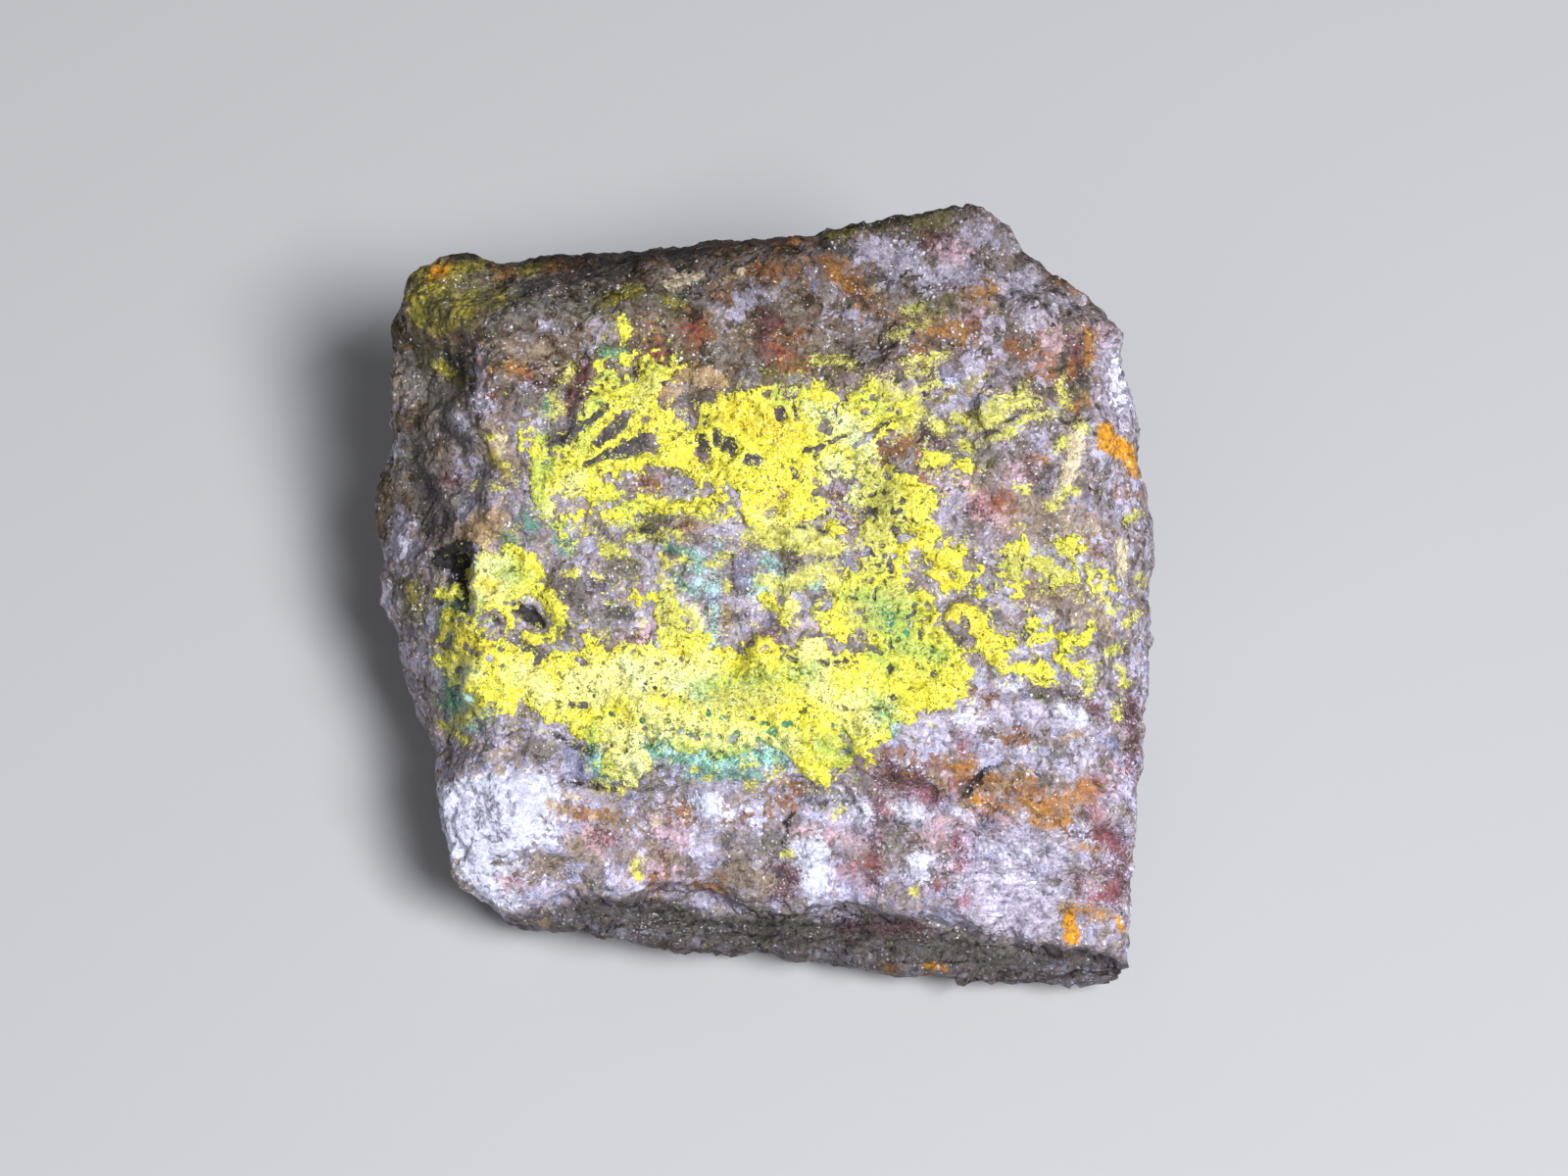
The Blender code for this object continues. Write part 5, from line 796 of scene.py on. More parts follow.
def chips_at(points, size, slope, step):
    """Height of small leaning planes, one for each cell of a cellular pattern, blended where they meet."""
    bend = np.stack([noise_at(points, CHIP_BEND_SIZE * size, shift) for shift in (3.1, 17.7, 41.9)], axis=1)
    bent = points / size + CHIP_BEND * bend
    cells = [noise.voronoi(p) for p in bent.tolist()]
    first_away = np.array([cell[0][0] for cell in cells])
    second_away = np.array([cell[0][1] for cell in cells])
    heights = []
    for rank in (0, 1):
        centres = np.array([cell[1][rank] for cell in cells])
        lean = np.stack([cell_random(centres, seed) - 0.5 for seed in (1.0, 2.0, 3.0)], axis=1)
        raised = step * (cell_random(centres, 4.0) - 0.5)
        heights.append(slope * 2.0 * size * np.sum(lean * (bent - centres), axis=1) + raised)
    share = 0.5 - 0.5 * smooth_step(0.0, CHIP_BLEND, second_away - first_away)
    return heights[0] * (1.0 - share) + heights[1] * share


def read_vectors(items, name):
    """One vector of each point or face of a mesh, as an array."""
    flat = np.empty(len(items) * 3)
    items.foreach_get(name, flat)
    return flat.reshape(-1, 3)


def write_points(mesh, points):
    """Moves a mesh's points to those of an array."""
    mesh.vertices.foreach_set("co", points.ravel())
    mesh.update()


def write_attribute(mesh, name, values):
    """Stores a number for each point, for the materials to read."""
    layer = mesh.attributes.new(name, "FLOAT", "POINT")
    layer.data.foreach_set("value", values.astype(np.float32))


def to_show(points):
    """Points in the show frame: across, up and out of the show face."""
    return (points - np.array(SHOW_MIDDLE)) @ SHOW_TURN


def drawn_place(points):
    """Where a line from the viewing point through each point meets the show plane, and the point's height."""
    local = to_show(points)
    reach = VIEW_DISTANCE / (VIEW_DISTANCE - local[:, 2])
    x = (VIEW_CENTRE.x + (local[:, 0] - VIEW_CENTRE.x) * reach) / UNIT
    y = (VIEW_CENTRE.y + (local[:, 1] - VIEW_CENTRE.y) * reach) / UNIT
    return x, y, local[:, 2]


def show_share(normals, height, leans, heights):
    """How much each point counts as part of the show face, from 0 to 1."""
    return smooth_step(*leans, normals @ SHOW_OUT) * smooth_step(*heights, height / MM)


def select_only(piece):
    """Selects one object alone and makes it active."""
    bpy.ops.object.select_all(action="DESELECT")
    piece.select_set(True)
    bpy.context.view_layer.objects.active = piece


def edit_all(piece, operator, **settings):
    """Runs one edit mode operator on the whole of a piece."""
    select_only(piece)
    bpy.ops.object.mode_set(mode="EDIT")
    bpy.ops.mesh.select_all(action="SELECT")
    operator(**settings)
    bpy.ops.object.mode_set(mode="OBJECT")


def apply_modifier(piece, kind, **settings):
    """Adds a modifier and applies it."""
    select_only(piece)
    bpy.ops.object.modifier_add(type=kind)
    modifier = piece.modifiers[-1]
    for name, value in settings.items():
        setattr(modifier, name, value)
    bpy.ops.object.modifier_apply(modifier=modifier.name)


def merged_copy(node_name, piece_name):
    """A copy of a solid with its loose triangles merged."""
    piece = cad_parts[node_name].copy()
    piece.data = piece.data.copy()
    piece.parent = None
    for key in list(piece.keys()):
        del piece[key]
    piece.name = piece_name
    bpy.context.scene.collection.objects.link(piece)
    edit_all(piece, bpy.ops.mesh.remove_doubles, threshold=1e-6)
    return piece


def refine_show_face(piece):
    """Splits the faces of the show face and its rims once more."""
    mesh = piece.data
    select_only(piece)
    bpy.ops.object.mode_set(mode="EDIT")
    bpy.ops.mesh.select_mode(type="FACE")
    bpy.ops.mesh.select_all(action="DESELECT")
    bpy.ops.object.mode_set(mode="OBJECT")
    heights = to_show(read_vectors(mesh.polygons, "center"))[:, 2]
    facing = read_vectors(mesh.polygons, "normal") @ SHOW_OUT
    chosen = (facing > REFINED_LEAN) & (heights > REFINED_HEIGHT)
    mesh.polygons.foreach_set("select", chosen)
    bpy.ops.object.mode_set(mode="EDIT")
    bpy.ops.mesh.subdivide(number_cuts=1)
    bpy.ops.object.mode_set(mode="OBJECT")


def roughen_rock(mesh):
    """Gives the block its chips, grains, layers and clefts, and keeps its underside flat."""
    points = read_vectors(mesh.vertices, "co")
    normals = read_vectors(mesh.vertices, "normal")
    low, high = points.min(axis=0), points.max(axis=0)
    x, y, height = drawn_place(points)
    scaled = points / MM
    relief = sum(chips_at(scaled, *chips) for chips in ROCK_CHIPS)
    below = smooth_step(-0.2, 0.8, np.interp(x, *zip(*LEDGE_LINE)) - y) * smooth_step(*LEDGE_START, x)
    layers = y * LEDGE_LAYERS + 0.5 * noise_at(scaled, 5.0, 2.0) + 0.18 * noise_at(scaled, 1.4, 7.0)
    relief += below * LEDGE_HEIGHT * (np.modf(np.abs(layers))[0] - 0.5)
    fibres = smooth_step(-1.0, 1.5, stroke_inside(FIBRES, x, y))
    relief += fibres * FIBRE_HEIGHT * noise_at(scaled * FIBRE_STRETCH, 0.55, 3.0)
    facing = show_share(normals, height, DETAIL_LEAN, DETAIL_HEIGHT)
    for stroke, depth in FINE_FORMS:
        inside = stroke_inside([stroke], x, y) + 0.25 * noise_at(scaled, 0.9, depth)
        relief -= facing * depth * smooth_step(-0.3, 0.5, inside)
    points += normals * (relief * MM)[:, None]
    points = np.clip(points, low, high)
    write_points(mesh, points)


def stain_rock(mesh):
    """Stores how far inside each stain every point is. The hidden sides get scattered stains of their own."""
    points = read_vectors(mesh.vertices, "co")
    x, y, height = drawn_place(points)
    shown = show_share(read_vectors(mesh.vertices, "normal"), height, STAIN_LEAN, STAIN_HEIGHT)
    hidden = 1.0 - shown
    for number, (name, strokes) in enumerate(STAINS.items()):
        inside = np.clip(stroke_inside(strokes, x, y), -MASK_LIMIT, MASK_LIMIT)
        scattered = np.full(len(points), -MASK_LIMIT)
        if name in SCATTERED:
            speckles = noise_at(points / MM, SCATTER_SIZE, 20.0 + 7.0 * number)
            scattered = SCATTERED[name] + SCATTER_NOISE * speckles
        write_attribute(mesh, name, inside * shown + scattered * hidden)
    # Warm colours are darker, partly as painted shade: more towards the top, less to the right, and at the
    # foot
    warmth_and_painted_shade = np.interp(y, *WARM_ALONG_Y) * np.interp(x, *WARM_ALONG_X)
    left_side = smooth_step(-29.0, -33.0, x) * smooth_step(0.0, 8.0, y)
    foot = smooth_step(-0.3, 1.2, np.interp(x, *zip(*LEDGE_LINE)) - y)
    warmth_and_painted_shade = np.maximum(np.maximum(warmth_and_painted_shade, left_side), WARM_FOOT * foot)
    write_attribute(mesh, "warmth_and_painted_shade", warmth_and_painted_shade * shown + WARM_HIDDEN * hidden)
    # Painted shade: the foot under the ledge, the slope along the top and the upper part of the face are
    # darkened in the rock's colour
    brow = smooth_step(-0.5, 1.5, y - np.interp(x, *zip(*BROW_LINE)))
    upper = smooth_step(22.0, 33.0, y) * np.interp(x, *UPPER_PAINTED_SHADE)
    dull_and_painted_shade = np.maximum(np.maximum(FOOT_PAINTED_SHADE * foot, BROW_PAINTED_SHADE * brow), upper)
    write_attribute(mesh, "dull_and_painted_shade", dull_and_painted_shade * shown)
    write_attribute(mesh, "fibres", shown * smooth_step(-1.0, 1.5, stroke_inside(FIBRES, x, y)))
    halo = np.full(len(points), -HALO_LIMIT)
    for name in CRUST_OUTLINES:
        halo = np.maximum(halo, crust_plan(name, x, y))
    write_attribute(mesh, "halo", np.minimum(halo, 0.0) * shown - HALO_LIMIT * hidden)


def rock_tree(piece):
    """A search tree of a piece's faces."""
    mesh = piece.data
    vertices = [vertex.co for vertex in mesh.vertices]
    return BVHTree.FromPolygons(vertices, [polygon.vertices[:] for polygon in mesh.polygons])


def blurred(field, times):
    """A grid of values, each averaged with its neighbours this many times."""
    for _ in range(times):
        padded = np.pad(field, 1, mode="edge")
        field = (padded[:-2, 1:-1] + padded[2:, 1:-1] + padded[1:-1, :-2] + padded[1:-1, 2:] + 4 * field) / 8
    return field


def crust_plan(name, x, y):
    """How far inside a crust's drawn outlines and strokes each point is, in drawn units."""
    return np.maximum(outline_inside(CRUST_OUTLINES[name], x, y), stroke_inside(CRUSTS[name], x, y))


def crust_inside(name, x, y, points):
    """How far inside a crust each point is, with ragged edges, gaps, pinholes and broken-up stretches."""
    ragged = layered_noise(points, RAGGED_NOISE)
    sparse = smooth_step(-0.8, 0.6, stroke_inside(CRUST_SPARSE, x, y))
    broken = layered_noise(points, BROKEN_NOISE) - 0.3
    inside = np.minimum(crust_plan(name, x, y) + 0.12 + ragged, 1.0) + sparse * broken
    gaps = stroke_inside(CRUST_GAPS, x, y) - 0.05 + 0.5 * ragged
    holed = smooth_step(-0.8, 0.4, stroke_inside(CRUST_PINHOLES, x, y))
    cells = [noise.voronoi(p) for p in (points / HOLE_SPACING).tolist()]
    near = np.array([cell[0][0] for cell in cells])
    chance = cell_random(np.array([cell[1][0] for cell in cells]), 6.0)
    least, added = HOLE_RADIUS
    radius = (np.where(chance > HOLELESS, least + added * (chance - HOLELESS), -1.0) + 0.2 * ragged) * holed
    pinholes = radius - HOLE_SPACING * near * MM / UNIT
    return np.minimum(np.minimum(inside, -gaps), -pinholes)


def crust_axes(name, spacing):
    """The columns and rows of a grid over a crust, in drawn units."""
    marks = [point[:2] for shape in CRUST_OUTLINES[name] + CRUSTS[name] for point in shape]
    low = np.min(marks, axis=0) - GRID_MARGIN
    high = np.max(marks, axis=0) + GRID_MARGIN
    columns, rows = np.ceil((high - low) * UNIT / spacing).astype(int) + 1
    return np.linspace(low[0], high[0], columns), np.linspace(low[1], high[1], rows)


def rock_depth(tree, x, y):
    """How far the rock is from the viewing point towards each drawn place. It is nan beside the rock."""
    depth = np.empty(len(x))
    for index, place in enumerate(zip((x * UNIT).tolist(), (y * UNIT).tolist())):
        target = SHOW_FRAME @ Vector((*place, 0.0))
        hit = tree.ray_cast(VIEW_POINT, (target - VIEW_POINT).normalized())
        depth[index] = hit[3] if hit[0] is not None else np.nan
    return depth


def flat_grid(name, axis_x, axis_y, inside):
    """A grid in drawn units. The third coordinate says how far inside the crust each point is."""
    columns, rows = len(axis_x) - 1, len(axis_y) - 1
    bpy.ops.object.select_all(action="DESELECT")
    bpy.ops.mesh.primitive_grid_add(x_subdivisions=columns, y_subdivisions=rows, size=1.0)
    piece = bpy.context.active_object
    piece.name = name
    places = read_vectors(piece.data.vertices, "co")
    column = np.rint((places[:, 0] + 0.5) * columns).astype(int)
    row = np.rint((places[:, 1] + 0.5) * rows).astype(int)
    write_points(piece.data, np.stack([axis_x[column], axis_y[row], inside[row, column]], axis=1))
    return piece


def grow_crust(name, tree, spacing, thickness):
    """One crust: a grid trimmed to the crust's ragged shape, laid on the rock and given a thickness."""
    axis_x, axis_y = crust_axes(name, spacing)
    grid_x, grid_y = np.meshgrid(axis_x, axis_y)
    x, y = grid_x.ravel(), grid_y.ravel()
    points = np.stack([x, y, np.zeros(x.size)], axis=1) * (UNIT / MM)
    depth = rock_depth(tree, x, y)
    missing = np.isnan(depth)
    inside = np.where(missing, -MASK_LIMIT, crust_inside(name, x, y, points))
    depth = np.where(missing, np.nanmedian(depth), depth).reshape(grid_x.shape)
    lumps = crust_lumps(points)
    rise = thickness * smooth_step(-0.05, 0.7, inside) + CRUST_EDGE
    rise += MM * lumps * smooth_step(0.0, 0.4, inside)
    thick = thickness * 1.1 * smooth_step(-0.5, 1.5, stroke_inside(THICK_EDGE, x, y))
    rise += thick * smooth_step(-0.05, 0.35, inside)
    top = RELIEF_KEPT * depth + (1.0 - RELIEF_KEPT) * blurred(depth, 6) - rise.reshape(grid_x.shape)
    foot = depth + CRUST_FOOT

    piece = flat_grid(name + "_skin", axis_x, axis_y, inside.reshape(grid_x.shape))
    # what lies outside the crust is below zero in the third coordinate
    edit_all(piece, bpy.ops.mesh.bisect, plane_co=(0, 0, 0), plane_no=(0, 0, 1), clear_inner=True,
             threshold=0.02)
    trimmed = read_vectors(piece.data.vertices, "co")
    x, y, inside = trimmed.T
    for tint, strokes in CRUST_TINTS.items():
        write_attribute(piece.data, tint, np.clip(stroke_inside(strokes, x, y), -MASK_LIMIT, MASK_LIMIT))
    write_attribute(piece.data, "inside", np.clip(inside, 0.0, MASK_LIMIT))
    write_attribute(piece.data, "crown", sampled(lumps.reshape(grid_x.shape), axis_x, axis_y, trimmed))
    apply_modifier(piece, "SOLIDIFY", thickness=1.0, offset=-1.0, use_rim=True)

    foot = sampled(foot, axis_x, axis_y, trimmed)
    top = np.minimum(sampled(top, axis_x, axis_y, trimmed), foot - CRUST_LEAST)
    targets = np.stack([x * UNIT, y * UNIT, np.zeros(len(trimmed))], axis=1)
    targets = targets @ SHOW_TURN.T + np.array(SHOW_MIDDLE)
    start = np.array(VIEW_POINT)
    lines = targets - start
    lines /= np.linalg.norm(lines, axis=1)[:, None]
    write_points(piece.data, np.vstack([start + lines * reach[:, None] for reach in (top, foot)]))
    return piece


def crust_lumps(points):
    """Lumps of the crusts' surface, in millimetres."""
    near = np.array([noise.voronoi(p)[0][0] for p in (points / KNOB_SIZE).tolist()])
    return layered_noise(points, LUMP_NOISE, KNOB_HEIGHT * (0.5 - near))


def sampled(field, axis_x, axis_y, places):
    """The value of a grid at each place, from its four neighbours."""
    u = (places[:, 0] - axis_x[0]) / (axis_x[1] - axis_x[0])
    v = (places[:, 1] - axis_y[0]) / (axis_y[1] - axis_y[0])
    column = np.clip(u.astype(int), 0, len(axis_x) - 2)
    row = np.clip(v.astype(int), 0, len(axis_y) - 2)
    u, v = u - column, v - row
    lower = field[row, column] * (1 - u) + field[row, column + 1] * u
    upper = field[row + 1, column] * (1 - u) + field[row + 1, column + 1] * u
    return lower * (1 - v) + upper * v


# Materials

# Sizes of the materials' noises, in metres
POWDER_SIZE = 0.00025
CLOT_SIZE = 0.0007
DRIFT_SIZE = 0.0009
# Scales of the other noises and of the rock's patches, in lumps for each metre
WARP_SCALE = 1400.0
CROWD_SCALE = 330.0
ROCK_SCALE = 260.0
PATCH_SCALE = 420.0
CRUST_SCALE = 420.0
STREAK_SCALE = 2600.0
# How far grains and patches are pushed out of shape, in metres
GRAIN_PUSH = 0.0007
PATCH_PUSH = 0.006
# Scale of the fibres' streaks along X, Y and Z
STREAK_STRETCH = (0.16, 1.0, 1.0)
# Colours of painted glints on the rock and of painted shade in the crusts' pits
GLINT_COLOUR = (0.92, 0.92, 1.0, 1.0)
PIT_SHADE_COLOUR = (0.07, 0.085, 0.035, 1.0)
# The crusts' grain, with its sizes in metres, the height of their powder in metres, and their roughness
CRUST_GRAIN = {"Grain": 0.0006, "Fine grain": 0.00028, "Glint share": 0.16}
POWDER_HEIGHT = 0.00012
CRUST_ROUGHNESS = 0.75
# Strengths of the bumps
ROCK_BUMP = 0.85
CRUST_BUMP = 0.9


def add_node(tree, kind, inputs=None, **settings):
    """Adds a shader node, sets its settings, and sets or links its inputs."""
    made = tree.nodes.new(kind)
    for name, value in settings.items():
        setattr(made, name, value)
    for key, value in (inputs or {}).items():
        socket = made.inputs[key]
        if isinstance(value, bpy.types.NodeSocket):
            tree.links.new(value, socket)
        else:
            socket.default_value = value
    return made


def math_node(tree, operation, first, second=0.0, third=0.0):
    """A Math node's output."""
    made = add_node(tree, "ShaderNodeMath", {0: first, 1: second, 2: third}, operation=operation)
    return made.outputs[0]


def vector_node(tree, operation, first, second, third=(0.0, 0.0, 0.0)):
    """A Vector Math node's output."""
    made = add_node(tree, "ShaderNodeVectorMath", {0: first, 1: second, 2: third}, operation=operation)
    return made.outputs[0]


def noise_node(tree, place, scale, detail, roughness=0.5):
    """The outputs of a noise texture."""
    return add_node(tree, "ShaderNodeTexNoise", {"Vector": place, "Scale": scale, "Detail": detail,
                                                 "Roughness": roughness}).outputs


def mixed(tree, share, first, second):
    """Two colours mixed by a share."""
    made = add_node(tree, "ShaderNodeMix", {"Factor": share}, data_type="RGBA", clamp_factor=True)
    for index, value in ((6, first), (7, second)):
        if isinstance(value, bpy.types.NodeSocket):
            tree.links.new(value, made.inputs[index])
        else:
            made.inputs[index].default_value = value
    return made.outputs[2]


def stretched(tree, value, low, high):
    """A value taken smoothly from 0 at low to 1 at high."""
    made = add_node(tree, "ShaderNodeMapRange", {"Value": value, "From Min": low, "From Max": high},
                    interpolation_type="SMOOTHSTEP")
    return made.outputs["Result"]


def attribute(tree, name):
    """The output of a number stored on the mesh."""
    return add_node(tree, "ShaderNodeAttribute", attribute_name=name).outputs["Fac"]


def new_group(name, inputs, outputs):
    """An empty shader node group with named number inputs, and outputs of the given types."""
    group = bpy.data.node_groups.new(name, "ShaderNodeTree")
    for label, default in inputs.items():
        kind = "NodeSocketVector" if default is None else "NodeSocketFloat"
        socket = group.interface.new_socket(label, in_out="INPUT", socket_type=kind)
        if default is not None:
            socket.default_value = default
    for label, kind in outputs.items():
        group.interface.new_socket(label, in_out="OUTPUT", socket_type=kind)
    start = group.nodes.new("NodeGroupInput")
    end = group.nodes.new("NodeGroupOutput")
    return group, start, end


def grain_group():
    """Sugary mineral grain: random numbers for each grain, the height of its leaning faces, and glints."""
    outputs = {"Random": "NodeSocketColor", "Fine random": "NodeSocketColor", "Height": "NodeSocketFloat",
               "Glint": "NodeSocketFloat"}
    inputs = {"Vector": None, "Grain": 0.0009, "Fine grain": 0.0004, "Glint share": 0.5}
    group, start, end = new_group("Mineral grain", inputs, outputs)
    place = start.outputs["Vector"]
    middle = (0.5, 0.5, 0.5)
    shift = vector_node(group, "SUBTRACT", noise_node(group, place, WARP_SCALE, 2.0)["Color"], middle)
    pushed = vector_node(group, "MULTIPLY_ADD", shift, (GRAIN_PUSH,) * 3, place)
    links = group.links
    heights = []
    for label, output, steepness in (("Grain", "Random", 1.0), ("Fine grain", "Fine random", 1.3)):
        scale = math_node(group, "DIVIDE", 1.0, start.outputs[label])
        cells = add_node(group, "ShaderNodeTexVoronoi", {"Vector": pushed, "Scale": scale})
        offset = vector_node(group, "SUBTRACT", pushed, cells.outputs["Position"])
        lean = vector_node(group, "SUBTRACT", cells.outputs["Color"], middle)
        height = add_node(group, "ShaderNodeVectorMath", {0: offset, 1: lean}, operation="DOT_PRODUCT")
        heights.append(math_node(group, "MULTIPLY", height.outputs["Value"], steepness))
        links.new(cells.outputs["Color"], end.inputs[output])
    links.new(math_node(group, "ADD", heights[0], heights[1]), end.inputs["Height"])
    scale = math_node(group, "DIVIDE", 1.1, start.outputs["Fine grain"])
    flecks = add_node(group, "ShaderNodeTexVoronoi", {"Vector": pushed, "Scale": scale})
    luck, reach, _ = split(group, flecks.outputs["Color"])
    crowd = stretched(group, noise_node(group, place, CROWD_SCALE, 3.0)["Fac"], 0.38, 0.66)
    crowded = math_node(group, "MULTIPLY", crowd, start.outputs["Glint share"])
    lucky = math_node(group, "LESS_THAN", luck, crowded)
    reach = math_node(group, "MULTIPLY_ADD", reach, 0.34, 0.14)
    spot = stretched(group, flecks.outputs["Distance"], reach, math_node(group, "MULTIPLY", reach, 0.5))
    links.new(math_node(group, "MULTIPLY", lucky, spot), end.inputs["Glint"])
    return group


def stain_group():
    """A stain's mask: how far inside it a point is, made ragged by noise and speckled grain by grain."""
    inputs = {"Inside": 0.0, "Drift": 0.5, "Speckle": 0.5, "Ragged": 1.0, "Speckled": 1.0, "Soft": 0.25}
    group, start, end = new_group("Stain mask", inputs, {"Mask": "NodeSocketFloat"})
    take = start.outputs
    drift = math_node(group, "SUBTRACT", take["Drift"], 0.5)
    speckle = math_node(group, "SUBTRACT", take["Speckle"], 0.5)
    total = math_node(group, "MULTIPLY_ADD", drift, take["Ragged"], take["Inside"])
    total = math_node(group, "MULTIPLY_ADD", speckle, take["Speckled"], total)
    mask = stretched(group, total, math_node(group, "MULTIPLY", take["Soft"], -1.0), take["Soft"])
    group.links.new(mask, end.inputs["Mask"])
    return group


def place_group(tree, group, inputs):
    """Puts a node group into a material."""
    return add_node(tree, "ShaderNodeGroup", inputs, node_tree=group)


def ready_group(name, build):
    """The shader node group of this name, built the first time."""
    return bpy.data.node_groups.get(name) or build()


def new_material(name):
    """A material with its node tree, its shader, and the place that its textures read."""
    material = bpy.data.materials.new(name)
    material.use_nodes = True
    tree = material.node_tree
    shader = tree.nodes["Principled BSDF"]
    place = add_node(tree, "ShaderNodeTexCoord").outputs["Object"]
    return material, tree, shader, place


def split(tree, colour):
    """The three parts of a colour."""
    return add_node(tree, "ShaderNodeSeparateColor", {0: colour}).outputs


def bumped(tree, shader, height, strength=1.0):
    """Feeds a height in metres to a shader's normal."""
    bump = add_node(tree, "ShaderNodeBump", {"Height": height, "Distance": 1.0, "Strength": strength})
    tree.links.new(bump.outputs["Normal"], shader.inputs["Normal"])


def colour_ramp(tree, value, stops):
    """A colour taken from stops of (position, colour)."""
    ramp = add_node(tree, "ShaderNodeValToRGB", {"Fac": value})
    elements = ramp.color_ramp.elements
    while len(elements) < len(stops):
        elements.new(0.5)
    for element, (position, colour) in zip(elements, stops):
        element.position = position
        element.color = (*colour, 1.0)
    return ramp.outputs["Color"]


# How each stain lies: name, size of its noise (0 wide, 1 close), raggedness, speckle, softness and strength,
# in the order that they cover each other
STAIN_LAYERS = [
    ("tan", 0, 5.0, 3.0, 0.4, 0.75),
    ("lavender", 0, 5.0, 2.8, 0.55, 0.8),
    ("white", 0, 4.4, 2.0, 0.5, 0.95),
    ("smoke", 0, 4.0, 3.4, 0.4, 0.8),
    ("pink", 0, 4.0, 3.4, 0.5, 0.75),
    ("slate", 1, 2.4, 3.0, 0.4, 0.85),
    ("buff", 1, 3.0, 2.4, 0.45, 0.85),
    ("cream", 1, 1.6, 1.4, 0.25, 0.9),
    ("olive", 0, 6.0, 3.0, 0.5, 0.75),
    ("rust", 0, 5.0, 4.0, 0.4, 0.8),
    ("amber", 1, 3.4, 5.0, 0.4, 0.86),
    ("maroon", 1, 3.6, 6.0, 0.5, 0.8),
    ("scarlet", 1, 2.4, 9.0, 0.4, 0.75),
    ("dark", 1, 3.0, 3.0, 0.5, 0.85),
    ("teal", 1, 3.2, 6.0, 0.4, 0.8),
    ("aqua", 1, 2.4, 5.0, 0.3, 0.85),
    ("moss", 1, 2.6, 3.0, 0.4, 0.8),
    ("dusting", 1, 2.4, 4.0, 0.2, 0.9),
    ("film", 1, 2.0, 2.4, 0.2, 0.95),
    ("ochre", 1, 1.6, 1.2, 0.2, 1.0),
    ("black", 1, 0.9, 0.8, 0.2, 0.95),
]
# Colours of the rock's patches, on its warm upper side and its cool lower side; the warm ones are darker,
# partly as painted shade
WARM_PATCHES_WITH_PAINTED_SHADE = [
    (0.16, (0.055, 0.038, 0.020)), (0.30, (0.12, 0.095, 0.045)), (0.42, (0.215, 0.12, 0.078)),
    (0.54, (0.18, 0.15, 0.105)), (0.66, (0.30, 0.205, 0.145)), (0.80, (0.37, 0.33, 0.33)),
]
COOL_PATCHES = [
    (0.16, (0.20, 0.165, 0.16)), (0.30, (0.36, 0.30, 0.26)), (0.42, (0.46, 0.36, 0.39)),
    (0.54, (0.40, 0.37, 0.44)), (0.66, (0.52, 0.45, 0.58)), (0.80, (0.66, 0.66, 0.90)),
]


def stained(tree, settings, layers, prefix, colour, drifts, speckles):
    """A colour with stains laid over it, each from its own mask."""
    stain = ready_group("Stain mask", stain_group)
    for number, (name, close, ragged, speckled, soft, strength) in enumerate(layers):
        mask = place_group(tree, stain, {
            "Inside": attribute(tree, name), "Drift": drifts[close][number % 3], "Soft": soft,
            "Speckle": speckles[close][(number + 1) % 3], "Ragged": ragged, "Speckled": speckled,
        })
        share = math_node(tree, "MULTIPLY", mask.outputs["Mask"], strength)
        colour = mixed(tree, share, colour, (*getattr(settings, prefix + name), 1.0))
    return colour


def noise_split(tree, place, size, detail=5.0, roughness=0.6):
    """The three parts of a coloured noise with lumps of this size."""
    return split(tree, noise_node(tree, place, 1.0 / size, detail, roughness)["Color"])


def scaled_colour(tree, colour, shade):
    """A colour made lighter or darker."""
    return add_node(tree, "ShaderNodeVectorMath", {0: colour, 3: shade}, operation="SCALE").outputs[0]


def rock_patches(tree, place, wide, random, fine):
    """The rock's colour: patches of its minerals, broken up grain by grain, darker where warm, partly as
    painted shade.
    """
    pushed = vector_node(tree, "MULTIPLY_ADD", wide, (PATCH_PUSH,) * 3, place)
    patches = add_node(tree, "ShaderNodeTexVoronoi", {"Vector": pushed, "Scale": PATCH_SCALE,
                                                      "Smoothness": 0.15}, feature="SMOOTH_F1")
    patch = split(tree, patches.outputs["Color"])
    pick = math_node(tree, "MULTIPLY_ADD", random[0], 0.40, math_node(tree, "MULTIPLY", patch[0], 0.52))
    pick = math_node(tree, "MULTIPLY_ADD", fine[2], 0.32, math_node(tree, "SUBTRACT", pick, 0.12))
    return mixed(tree, attribute(tree, "warmth_and_painted_shade"), colour_ramp(tree, pick, COOL_PATCHES),
                 colour_ramp(tree, pick, WARM_PATCHES_WITH_PAINTED_SHADE))


